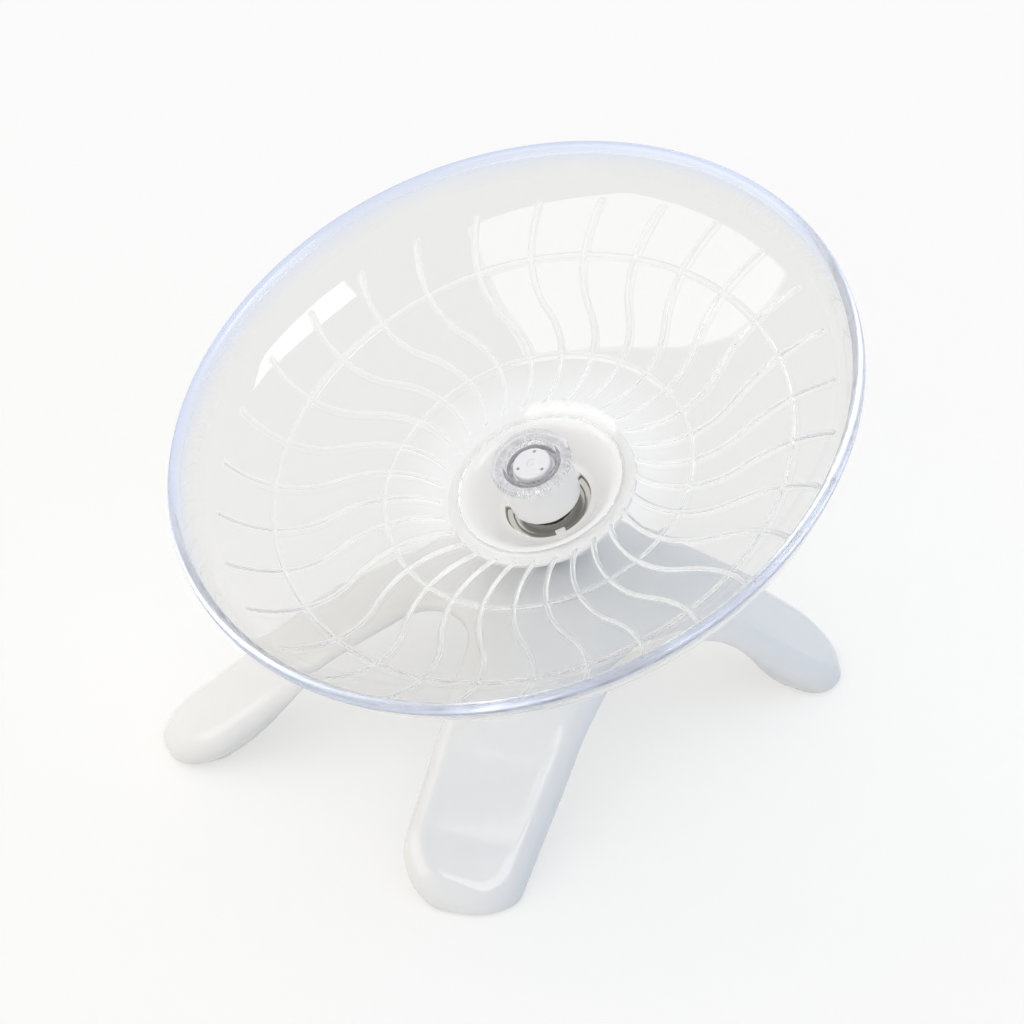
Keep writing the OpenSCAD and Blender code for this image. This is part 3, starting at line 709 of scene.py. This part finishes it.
def race(name, plain_r, groove_side_r, body, node):
    """A ring between its plain side and its grooved side."""
    out = 1 if groove_side_r > plain_r else -1
    open_a = math.acos(abs(groove_side_r - pitch_r) / groove_r)
    facing = 0 if groove_side_r > pitch_r else math.pi
    groove = []
    for k in range(17):
        a = facing + (open_a - 2 * open_a * k / 16) * (1 if facing == 0 else -1)
        groove.append(Vector((pitch_r + groove_r * math.cos(a), -bearing_h / 2 + groove_r * math.sin(a))))
    corners = rounded([(plain_r, -bearing_h, chamfer), (plain_r, 0, chamfer), (groove_side_r, 0, 0.2)], 4)
    lower = rounded([(plain_r, -bearing_h, 0), (groove_side_r, 0, 0), (groove_side_r, -bearing_h, 0.2)], 4)
    piece = lathe(name, corners + groove + lower[2:], 160)
    piece.data.materials.append(race_steel)
    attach(piece, body)
    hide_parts(node)


race("outer_race", bearing_r, bearing_r - race_t, "dish_body", "bearing_outer_race")
race("inner_race", bore_r, bore_r + race_t, "stand_body", "bearing_inner_race")

# %% Pressed shields, one the mirror image of the other
shield_t, shield_sink, shield_gap = 0.3, 0.35, 0.25
shield_in, shield_out = bore_r + race_t + shield_gap, bearing_r - race_t
press, step_in, ramp = 0.12, 0.9, 0.3


def shield(name, flip, node):
    top = -shield_sink
    step = shield_in + step_in
    corners = [(shield_in, top - press, 0.08), (step, top - press, 0.1), (step + ramp, top, 0.1),
               (shield_out, top, 0.1), (shield_out, top - shield_t, 0.1), (step + ramp, top - shield_t, 0.1),
               (step, top - press - shield_t, 0.1), (shield_in, top - press - shield_t, 0.08)]
    section = [Vector((p.x, -bearing_h - p.y if flip else p.y)) for p in rounded(corners, 3)]
    piece = lathe(name, section, 128)
    piece.data.materials.append(shield_steel)
    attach(piece, "dish_body")
    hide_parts(node)


shield("upper_shield", False, "bearing_shield_upper")
shield("lower_shield", True, "bearing_shield_lower")

# %% [markdown]
# ## Sleeve, cap and screw
#
# A white sleeve stands on the bearing's inner ring and widens a little towards its top. A clear
# cap is let into it, with a round recess, and a plastic screw in the recess clamps the stack on
# the spindle. The screw's head has three small spanner holes and the mark of its moulding gate.

# %% The sleeve
sleeve_d, sleeve_top_d, sleeve_lift, sleeve_top = 18.0, 19.2, 3.2, 15.4
cap_d, cap_t, cap_recess_d, cap_recess_h, cap_floor = 20.6, 2.5, 13.0, 3.9, 1.4
sleeve_web, plug_wall, screw_d = 1.6, 0.9, 4.0
cap_top = sleeve_top + cap_t
recess_w = cap_top - cap_recess_h
plug_r = cap_recess_d / 2 + plug_wall
plug_w = recess_w - cap_floor
spindle_top = plug_w - sleeve_web
sleeve_foot_r = bore_r + race_t - chamfer
socket_r, screw_hole_r = plug_r + fit_gap, screw_d / 2 + fit_gap
sleeve = lathe("sleeve", rounded([
    (bore_r, 0, 0), (sleeve_foot_r, 0, 0.2), (sleeve_foot_r, sleeve_lift, 0.5),
    (sleeve_d / 2, sleeve_lift, 0.9), (sleeve_top_d / 2, sleeve_top, 0.25), (socket_r, sleeve_top, 0.2),
    (socket_r, plug_w, 0.3), (screw_hole_r, plug_w, 0.1), (screw_hole_r, spindle_top, 0),
    (bore_r, spindle_top, 0)], 8), 160)
sleeve.data.materials.append(white_hub)
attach(sleeve, "stand_body")
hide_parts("sleeve")

# %% The clear cap
cap = lathe("cap", rounded([
    (screw_hole_r, plug_w, 0.1), (plug_r, plug_w, 0.3), (plug_r, sleeve_top, 0.1),
    (cap_d / 2, sleeve_top, 0.5), (cap_d / 2, cap_top, 0.9), (cap_recess_d / 2, cap_top, 0.5),
    (cap_recess_d / 2, recess_w, 0.35), (screw_hole_r, recess_w, 0.1)], 8), 400)
cap.data.materials.append(clear_cap)
cap.visible_shadow = False
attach(cap, "stand_body")
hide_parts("cap")

# %% Cut one piece with another
def cut(piece, tool):
    modifier = piece.modifiers.new("cut", "BOOLEAN")
    modifier.operation = "DIFFERENCE"
    modifier.solver = "EXACT"
    modifier.object = tool
    seen = piece.evaluated_get(bpy.context.evaluated_depsgraph_get())
    mesh = bpy.data.meshes.new_from_object(seen)
    piece.modifiers.remove(modifier)
    piece.data = mesh
    mesh.name = piece.name
    mesh.shade_smooth()
    mesh.set_sharp_from_angle(angle=math.radians(sharp_degrees))
    bpy.data.objects.remove(tool)


# %% The cap's screw, with three spanner holes and a gate mark
screw_head_d, screw_head_h, screw_len, screw_washer_t = 9.8, 2.3, 12.0, 0.5
hole_count, hole_r, hole_place, hole_depth, gate_r, gate_drop = 3, 0.45, 3.6, 1.0, 1.3, 0.3
disc_r = screw_head_d / 2 + 0.5
seat_w = recess_w + screw_washer_t
head_top = seat_w + screw_head_h
shank_r = screw_d / 2 - fit_gap
screw = lathe("head_screw", rounded([
    (0, seat_w - screw_len, 0), (shank_r, seat_w - screw_len, 0.4), (shank_r, seat_w, 0.1),
    (screw_head_d / 2, seat_w, 0.15), (screw_head_d / 2, head_top, 0.6), (gate_r, head_top, 0.1),
    (gate_r - 0.15, head_top - gate_drop, 0.1), (0.5, head_top - gate_drop, 0.08),
    (0.4, head_top - 0.05, 0.08), (0, head_top - 0.05, 0)], 6), 128)
holes = []
for k in range(hole_count):
    a = tab_turn + math.tau * (k + 0.25) / hole_count
    x, y = hole_place * math.cos(a), hole_place * math.sin(a)
    points, faces = lathe_shape([(0.001, head_top - hole_depth), (hole_r, head_top - hole_depth),
                                 (hole_r, head_top + 1), (0.001, head_top + 1)], 32)
    holes.append(([(p[0] + x, p[1] + y, p[2]) for p in points], faces))
cut(screw, add_piece("holes", *join_shapes(holes)))
washer = lathe("screw_disc", rounded([
    (screw_hole_r, recess_w, 0.1), (disc_r, recess_w, 0.1), (disc_r, seat_w, 0.2),
    (screw_hole_r, seat_w, 0.1)], 4), 128)
for piece, node in ((screw, "cap_screw"), (washer, "screw_washer")):
    piece.data.materials.clear()
    piece.data.materials.append(white_screw)
    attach(piece, "stand_body")
    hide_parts(node)
print("screw faces:", len(screw.data.polygons))

# %% [markdown]
# ## Spindle and nut
#
# The spindle is a steel pin with a collar. It is threaded at its lower end, where a hexagonal nut
# draws it up against the boss of the stand. A thread is a ridge that climbs by one pitch for each
# turn, so the radius of a point depends on its height and on its angle together.

# %% The spindle
thrust_t, collar_d, collar_t, spindle_tail = 0.8, 12.8, 0.9, 2.0
boss_len, nut_washer_t, nut_h, nut_af, washer_r = 12.0, 1.2, 4.0, 13.0, 8.0
collar_top = -bearing_h - thrust_t
boss_top = collar_top - collar_t
boss_bottom = boss_top - boss_len
nut_top = boss_bottom - nut_washer_t
spindle_bottom = nut_top - nut_h - spindle_tail
pitch, thread_h, shank, tapped_len = 1.25, 0.5, bore_r - fit_gap, 14


def threaded(r, low, high, steps=96, per_turn=10):
    """Points and faces of a closed threaded rod whose crests reach radius r."""
    rows = round((high - low) / pitch * per_turn)
    points = [(0, 0, low)]
    for k in range(rows + 1):
        w = low + (high - low) * k / rows
        ends = min((w - low) / (0.8 * pitch), 1)
        for i in range(steps):
            wave = 0.5 - 0.5 * math.cos(math.tau * (w / pitch - i / steps))
            q = r - thread_h * (1 - ends) - thread_h * ends * wave
            points.append((q * math.cos(math.tau * i / steps), q * math.sin(math.tau * i / steps), w))
    points.append((0, 0, high))
    last = len(points) - 1
    faces = [(0, 1 + (i + 1) % steps, 1 + i) for i in range(steps)]
    faces += [(1 + k * steps + i, 1 + k * steps + (i + 1) % steps, 1 + (k + 1) * steps + (i + 1) % steps,
               1 + (k + 1) * steps + i) for k in range(rows) for i in range(steps)]
    faces += [(last, 1 + rows * steps + i, 1 + rows * steps + (i + 1) % steps) for i in range(steps)]
    return points, faces


bore = screw_d / 2
pin = lathe_shape(rounded([
    (0, nut_top - 0.2, 0), (shank, nut_top - 0.2, 0), (shank, boss_top, 0), (collar_d / 2, boss_top, 0.2),
    (collar_d / 2, collar_top, 0.3), (shank, collar_top, 0.1), (shank, spindle_top, 0.4),
    (bore, spindle_top, 0.2), (bore, spindle_top - tapped_len, 0), (0, spindle_top - tapped_len, 0)], 4), 128)
spindle = add_piece("spindle", *join_shapes([pin, threaded(shank, spindle_bottom, nut_top - 0.1)]))


# %% The nut: a hexagon whose corners are turned off at an angle
flat_share, nut_chamfer = 0.96, 0.4


def nut_shape(steps=96):
    points = []
    for i in range(steps):
        a = math.tau * i / steps
        hexagon = nut_af / 2 / math.cos((a + math.pi / 6) % (math.pi / 3) - math.pi / 6)
        corner = max(hexagon - flat_share * nut_af / 2, 0) * 0.5
        face_r = min(hexagon, flat_share * nut_af / 2)
        low, high, mouth_r = nut_top - nut_h, nut_top, bore_r + nut_chamfer
        for r, w in ((bore_r, low + nut_chamfer), (mouth_r, low), (face_r, low), (hexagon, low + corner),
                     (hexagon, high - corner), (face_r, high), (mouth_r, high), (bore_r, high - nut_chamfer)):
            points.append((r * math.cos(a), r * math.sin(a), w))
    faces = [(k * 8 + i, (k + 1) % steps * 8 + i, (k + 1) % steps * 8 + (i + 1) % 8, k * 8 + (i + 1) % 8)
             for k in range(steps) for i in range(8)]
    return points, faces


nut = add_piece("hex_nut", *nut_shape(), sharp=24)
nut_washer = lathe("plain_washer", rounded([
    (bore_r, nut_top, 0.1), (washer_r, nut_top, 0.3), (washer_r, boss_bottom, 0.15),
    (bore_r, boss_bottom, 0.1)], 4), 128)
for piece, node in ((spindle, "spindle"), (nut, "spindle_nut"), (nut_washer, "nut_washer")):
    piece.data.materials.append(zinc_steel)
    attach(piece, "stand_body")
    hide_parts(node)
print("thread turns:", round((nut_top - spindle_bottom) / pitch, 1))

# %% [markdown]
# ## The stand
#
# The stand is one glossy white shell on four legs, open below. Its outline, seen from above, is a
# chain of circles joined by tangent lines: a notch, the foot's two corners, the hollow waist, the
# other foot and its notch. Its top is flat in the middle, falls along both leg pairs and rolls
# down to the sides. Each row of the shell is the outline drawn a little further in and a little
# deeper, so the rounding along the edge and the tucked skirt come from one rule. This is the
# part's own rule with many more rows, because a gloss shows every facet.

# %% The stand's sizes
stand_wall, crown_drop = 2.4, 13.4
stand_top = hub_z - crown_drop
front_foot, rear_foot = Vector((43.5, -63.0)), Vector((42.5, 60.5))
foot_w, foot_r, leg_t, lip_t = 30.0, 12.5, 12.0, 3.4
waist, waist_r = Vector((35.5, 8.0)), 38.0
front_notch_y, rear_notch_y, notch_r = -21.5, 37.5, 12.0
front_foot_h, rear_foot_h, front_bend_r, rear_bend_r = 11.7, 11.0, 42.0, 22.0
flat_front_y, flat_rear_y = -16.0, 31.0
side_slope, side_bend_r = math.radians(27), 60.0
edge_r, tuck, toe_tuck, toe_len = 5.0, 0.1, 0.9, 20.0
outer_grow, inner_grow = 1.2, 4.0
sole_d, pad_d, pad_t, pad_proud, boss_d = 12.0, 8.0, 1.6, 0.6, 17.0

# %% The outline: a chain of circles
hub_foot = Vector((0, hub_y))


def foot_corner(foot, side):
    d = (foot - hub_foot).normalized()
    return foot + side * (foot_w / 2 - foot_r) * Vector((abs(d.y), -d.x * math.copysign(1, d.y)))


chain = [(Vector((0, front_notch_y - notch_r)), -notch_r),
         (foot_corner(front_foot, -1), foot_r), (foot_corner(front_foot, 1), foot_r),
         (waist + Vector((waist_r, 0)), -waist_r),
         (foot_corner(rear_foot, 1), foot_r), (foot_corner(rear_foot, -1), foot_r),
         (Vector((0, rear_notch_y + notch_r)), -notch_r)]


def heading(i):
    d = chain[i + 1][0] - chain[i][0]
    return math.atan2(d.y, d.x) + math.asin((chain[i][1] - chain[i + 1][1]) / d.length)


def along(a):
    return Vector((math.sin(a), -math.cos(a)))


headings = [heading(i) for i in range(6)]
middle_f, middle_b = Vector((0, front_notch_y + 12)), Vector((0, rear_notch_y - 10))
shoulder_f, shoulder_b = Vector((22, front_notch_y)), Vector((22, rear_notch_y))


# %% Samples of the outline: point, direction inwards, spine point, depth of the skirt
def arc(i, a0, a1, n, s0, s1, depth):
    centre, r = chain[i]
    ways = [along(a0 + (a1 - a0) * k / n) for k in range(n)]
    return [(centre + r * way, -way, s0.lerp(s1, k / n), depth) for k, way in enumerate(ways)]


def leg_line(i, s0, s1, grow, to_foot, n=24):
    a = headings[i]
    start = chain[i][0] + chain[i][1] * along(a)
    end = chain[i + 1][0] + chain[i + 1][1] * along(a)
    out = []
    for k in range(n):
        t = k / n
        u = soft_step(t if to_foot else 1 - t) ** grow
        out.append((start.lerp(end, t), -along(a), s0.lerp(s1, t), lip_t + (leg_t - lip_t) * u))
    return out


def waist_arc(k0, n, s0, s1):
    a0, a1 = (headings[2] + (headings[3] - headings[2]) * k / 24 for k in (k0, k0 + n))
    return arc(3, a0, a1, n, s0, s1, lip_t)


tip = 14
right = (arc(0, 0, headings[0], 8, middle_f, shoulder_f, lip_t)
         + leg_line(0, shoulder_f, front_foot, inner_grow, True)
         + arc(1, headings[0], headings[1], tip, front_foot, front_foot, leg_t)
         + arc(2, headings[1], headings[2], tip, front_foot, front_foot, leg_t)
         + leg_line(2, front_foot, shoulder_f, outer_grow, False)
         + waist_arc(0, 8, shoulder_f, middle_f) + waist_arc(8, 8, middle_f, middle_b)
         + waist_arc(16, 8, middle_b, shoulder_b)
         + leg_line(3, shoulder_b, rear_foot, outer_grow, True)
         + arc(4, headings[3], headings[4], tip, rear_foot, rear_foot, leg_t)
         + arc(5, headings[4], headings[5] + math.tau, tip, rear_foot, rear_foot, leg_t)
         + leg_line(5, rear_foot, shoulder_b, inner_grow, False)
         + arc(6, headings[5], -math.pi, 8, shoulder_b, middle_b, lip_t))
rear_end = (Vector((0, rear_notch_y)), Vector((0, -1)), middle_b, lip_t)


def flip(sample):
    p, inward, spine, depth = sample
    return Vector((-p.x, p.y)), Vector((-inward.x, inward.y)), Vector((-spine.x, spine.y)), depth


outline = right + [rear_end] + [flip(sample) for sample in reversed(right[1:])]
print("outline samples:", len(outline))


# %% The stand's top face
def bend_drop(d, r, slope):
    if d <= 0:
        return 0
    if d < r * math.sin(slope):
        return r - math.sqrt(r * r - d * d)
    return r * (1 - math.cos(slope)) + (d - r * math.sin(slope)) * math.tan(slope)


def slope_to(d, r, drop):
    """The slope at which such a bend has fallen by drop at distance d."""
    return math.atan2(drop - r, d) + math.asin(r / math.hypot(d, drop - r))


def leg_slope(foot, d, r, foot_h):
    return slope_to(d, r, stand_top - bend_drop(foot.x, side_bend_r, side_slope) - foot_h)


front_slope = leg_slope(front_foot, flat_front_y - front_foot.y, front_bend_r, front_foot_h)
rear_slope = leg_slope(rear_foot, rear_foot.y - flat_rear_y, rear_bend_r, rear_foot_h)


def top_z(p):
    return (stand_top - bend_drop(abs(p.x), side_bend_r, side_slope)
            - bend_drop(flat_front_y - p.y, front_bend_r, front_slope)
            - bend_drop(p.y - flat_rear_y, rear_bend_r, rear_slope))


def below(p, depth, z0):
    """The point at a depth below the top face, nearly square to it, or on the level z0."""
    dx, dy = Vector((0.05, 0)), Vector((0, 0.05))
    slope_x, slope_y = (top_z(p - dx) - top_z(p + dx)) / 0.1, (top_z(p - dy) - top_z(p + dy)) / 0.1
    down = (Vector((slope_x, slope_y, 1)).normalized() + Vector((0, 0, 1))).normalized()
    return Vector((p.x, p.y, top_z(p))) - min(depth, (top_z(p) - z0) / down.z) * down


# %% The rows of the shell
round_steps, span_steps, lip_round = 8, 8, 0.7


def tuck_at(spine):
    """How far the skirt leans in, as a share of its height: more at the tip of a foot."""
    p = Vector((abs(spine.x), spine.y))
    near = max(0, 1 - min((p - front_foot).length, (p - rear_foot).length) / toe_len)
    return tuck + (toe_tuck - tuck) * near


def skirt_row(inset, u, z0):
    row = []
    for p, inward, spine, depth in outline:
        e = min(edge_r, 0.8 * depth)
        d = depth - e
        row.append(below(p + inward * (inset + tuck_at(spine) * d * u * u), e + (d - lip_round) * u, z0))
    return row


def edge_row(inset, j, z0):
    a = math.radians(90) * j / round_steps
    row = []
    for p, inward, _, depth in outline:
        e = min(edge_r, 0.8 * depth)
        row.append(below(p + inward * (inset + (edge_r - inset) * (1 - math.sin(a))),
                         inset + max(e - inset, 0.3) * (1 - math.cos(a)), z0))
    return row


def span_row(inset, j, z0):
    return [below((p + inward * edge_r).lerp(spine, j / span_steps), inset, z0)
            for p, inward, spine, _ in outline]


def rim_row(q, z0):
    """The skirt's rounded lower edge, from the outside (q = 0) to the inside (q = 1)."""
    row = []
    for p, inward, spine, depth in outline:
        d = depth - min(edge_r, 0.8 * depth)
        deep = depth - lip_round * (1 - math.sin(math.pi * q) ** 0.6)
        row.append(below(p + inward * (stand_wall * q + tuck_at(spine) * d), deep, z0))
    return row


def half_rows(inset, z0):
    rows = [skirt_row(inset, u, z0) for u in (1, 0.8, 0.6, 0.4, 0.2)]
    rows += [edge_row(inset, j, z0) for j in range(round_steps, -1, -1)]
    return rows + [span_row(inset, j, z0) for j in range(1, span_steps + 1)]


floor_level = -0.4
outside, inside = half_rows(0, floor_level), half_rows(stand_wall, floor_level)
rim = [rim_row(q, floor_level) for q in (0.93, 0.8, 0.5, 0.2, 0.07)]
rows = outside + list(reversed(inside)) + rim
n = len(outline)
points = [p for row in rows for p in row]
faces = []
for j in range(len(rows)):
    if j == len(outside) - 1:
        continue
    up = (j + 1) % len(rows)
    faces += [(j * n + k, up * n + k, up * n + (k + 1) % n, j * n + (k + 1) % n) for k in range(n)]
shell = add_piece("stand", points, faces, place=upright)
print("shell faces:", len(shell.data.polygons))


# %% Cut the shell level at the soles and close it again
def cut_level(piece, z):
    work = bmesh.new()
    work.from_mesh(piece.data)
    whole = work.verts[:] + work.edges[:] + work.faces[:]
    hit = bmesh.ops.bisect_plane(work, geom=whole, plane_co=(0, 0, z * mm), plane_no=(0, 0, 1),
                                 clear_inner=True)
    edges = [e for e in hit["geom_cut"] if isinstance(e, bmesh.types.BMEdge)]
    bmesh.ops.triangle_fill(work, edges=edges, use_beauty=True, normal=(0, 0, -1))
    bmesh.ops.recalc_face_normals(work, faces=work.faces)
    print(piece.name, "open edges:", sum(1 for e in work.edges if not e.is_manifold))
    work.to_mesh(piece.data)
    work.free()


cut_level(shell, pad_proud)

# %% Boss and soles
boss = lathe("boss", rounded([
    (bore_r, boss_bottom, 0.2), (boss_d / 2, boss_bottom, 0.6), (boss_d / 2, boss_top, 0.8),
    (bore_r, boss_top, 0.2)], 5), 128)
feet = [Vector((x * foot.x, foot.y, 0)) for foot in (front_foot, rear_foot) for x in (-1, 1)]
soles = []
for k, foot in enumerate(feet):
    out = Vector((foot.x, foot.y - hub_y)).normalized()
    sole_top = top_z(foot.xy + sole_d / 2 * out) - stand_wall / 2
    soles.append(lathe("sole_%d" % k, rounded([
        (0, pad_t, 0), (pad_d / 2 + fit_gap, pad_t, 0), (pad_d / 2 + fit_gap, pad_proud, 0.15),
        (sole_d / 2, pad_proud, 0.2), (sole_d / 2, sole_top, 0.4), (0, sole_top, 0)], 4),
        96, place=Matrix.Translation(foot * mm)))
stand = merge([shell, boss] + soles)
stand.data.materials.clear()
stand.data.materials.append(white_stand)
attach(stand, "stand_body")
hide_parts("stand")
print("stand faces:", len(stand.data.polygons))

# %% Foot pads
names = ("pad_front_left", "pad_front_right", "pad_rear_left", "pad_rear_right")
for name, foot in zip(names, feet):
    pad = lathe(name.replace("pad", "foot_pad"), rounded([
        (0, 0, 0), (pad_d / 2, 0, 0.35), (pad_d / 2, pad_t, 0.1), (0, pad_t, 0)], 5), 96,
        place=Matrix.Translation(foot * mm))
    pad.data.materials.append(pad_rubber)
    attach(pad, "stand_body")
    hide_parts(name)

# %% [markdown]
# ## Pieces that stay as the part made them
#
# The balls, their cage and the thrust washer are hidden in the bearing. They keep the part's own
# meshes and get a finish each.

# %% Finishes of the kept pieces
kept = {"bearing_cage": cage_nylon, "thrust_washer": zinc_steel}
kept.update({"ball_%d" % k: ball_steel for k in range(1, 8)})
for name, finish in kept.items():
    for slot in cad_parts[name].material_slots:
        slot.material = finish
print("kept pieces:", len(kept))

# %% [markdown]
# ## Floor, light and camera
#
# The product stands on a plain pale floor in soft light. Clear plastic has no colour of its own,
# so what shows in it are the lights: a large window-like lamp behind the camera's left shoulder
# draws the bright four-sided patch in the bowl, and a small one overhead draws the second patch.
# Both show as reflections alone. The surroundings light the object, white to the left and a cool
# blue to the right, which tints the shaded sides of the legs. Where the camera sees the floor,
# directly or in plastic and metal, part of its white is its own, so that its shadows stay pale,
# and beyond the floor it sees a plain white backdrop.

# %% Camera axes
right_axis = Vector((0.7350, 0.6781, 0.0))
up_axis = Vector((-0.3811, 0.4131, 0.8271))
back_axis = Vector((0.5608, -0.6079, 0.5621))
camera_place = Vector((0.8276, -0.8972, 0.8871))
camera_data = bpy.data.cameras.new("camera")
camera_data.lens = 210.9
camera_data.sensor_width = 36
camera = bpy.data.objects.new("camera", camera_data)
turn = Matrix((right_axis, up_axis, back_axis)).transposed().to_4x4()
camera.matrix_world = Matrix.Translation(camera_place) @ turn
scene.collection.objects.link(camera)
scene.camera = camera


# %% Lamps
def lamp(name, towards, centre, width, height, radiance, colour=(1, 1, 1)):
    """A rectangular lamp of a given radiance that hangs at centre and faces back along towards."""
    data = bpy.data.lights.new(name, "AREA")
    data.shape = "RECTANGLE"
    data.size, data.size_y = width, height
    data.energy = math.pi * width * height * radiance
    data.color = colour
    lamp_object = bpy.data.objects.new(name, data)
    facing = Vector(towards).to_track_quat("Z", "Y").to_matrix().to_4x4()
    lamp_object.matrix_world = Matrix.Translation(centre) @ facing
    lamp_object.visible_diffuse = False
    scene.collection.objects.link(lamp_object)


bowl = Vector((0, 0, rim_height * mm))
key_way = Vector((-0.42, -0.50, 0.72)).normalized()
lamp("window lamp", key_way, bowl + Vector((-0.44, -0.84, 0.78)), 1.25, 1.15, 1.5, (1, 0.99, 0.97))
top_way, top_distance = Vector((0.48, 0.0, 0.88)).normalized(), 1.2
lamp("overhead lamp", top_way, bowl + top_distance * top_way, 0.6, 0.4, 3.0)

# %% Where the camera sees a surface, directly or in plastic and metal
def seen_directly(tree):
    rays = add_node(tree, "ShaderNodeLightPath")
    through = add_node(tree, "ShaderNodeMath", {0: rays.outputs["Is Camera Ray"],
                                                1: rays.outputs["Is Transmission Ray"]}, operation="ADD")
    mirrored = add_node(tree, "ShaderNodeMath", {0: through.outputs[0], 1: rays.outputs["Is Glossy Ray"]},
                        operation="ADD", use_clamp=True)
    return mirrored.outputs[0]


# %% Surroundings: white to the left, cool blue to the right, and a plain white backdrop
world = bpy.data.worlds.new("surroundings")
world.use_nodes = True
tree = world.node_tree
tree.nodes.clear()
direction = add_node(tree, "ShaderNodeTexCoord")
across = add_node(tree, "ShaderNodeVectorMath", {0: direction.outputs["Generated"], 1: right_axis[:]},
                  operation="DOT_PRODUCT")
share = add_node(tree, "ShaderNodeMapRange", {"Value": across.outputs["Value"], "From Min": 0.0,
                                              "From Max": 0.8}, interpolation_type="SMOOTHSTEP")
mix = add_node(tree, "ShaderNodeMix", {"Factor": share.outputs["Result"]}, data_type="RGBA")
mix.inputs[6].default_value = (1.10, 1.07, 1.03, 1)
mix.inputs[7].default_value = (0.40, 0.54, 0.74, 1)
backdrop = add_node(tree, "ShaderNodeMix", {"Factor": seen_directly(tree), 6: mix.outputs[2]},
                    data_type="RGBA")
backdrop.inputs[7].default_value = (0.97, 0.97, 0.965, 1)
background = add_node(tree, "ShaderNodeBackground", {"Color": backdrop.outputs[2], "Strength": 1.0})
add_node(tree, "ShaderNodeOutputWorld", {"Surface": background.outputs[0]})
scene.world = world

# %% Floor
floor_mesh = bpy.data.meshes.new("floor")
half = 6.0
floor_mesh.from_pydata([(-half, -half, 0), (half, -half, 0), (half, half, 0), (-half, half, 0)], [],
                       [(0, 1, 2, 3)])
floor = bpy.data.objects.new("floor", floor_mesh)
scene.collection.objects.link(floor)
floor_paint = bpy.data.materials.new("floor")
floor_paint.use_nodes = True
tree = floor_paint.node_tree
shader = tree.nodes["Principled BSDF"]
shader.inputs["Roughness"].default_value = 0.9
shader.inputs["Specular IOR Level"].default_value = 0.0
seen = seen_directly(tree)
tone = add_node(tree, "ShaderNodeMix", {"Factor": seen}, data_type="RGBA")
tone.inputs[6].default_value = (0.80, 0.80, 0.80, 1)
tone.inputs[7].default_value = (0.40, 0.40, 0.395, 1)
tree.links.new(tone.outputs[2], shader.inputs["Base Color"])
shader.inputs["Emission Color"].default_value = (0.59, 0.588, 0.58, 1)
tree.links.new(seen, shader.inputs["Emission Strength"])
floor_mesh.materials.append(floor_paint)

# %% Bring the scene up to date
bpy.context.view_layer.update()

# %% Finish
scene.view_settings.view_transform = "Standard"
bounces = 24
scene.cycles.max_bounces = bounces
scene.cycles.glossy_bounces = bounces
scene.cycles.transmission_bounces = bounces
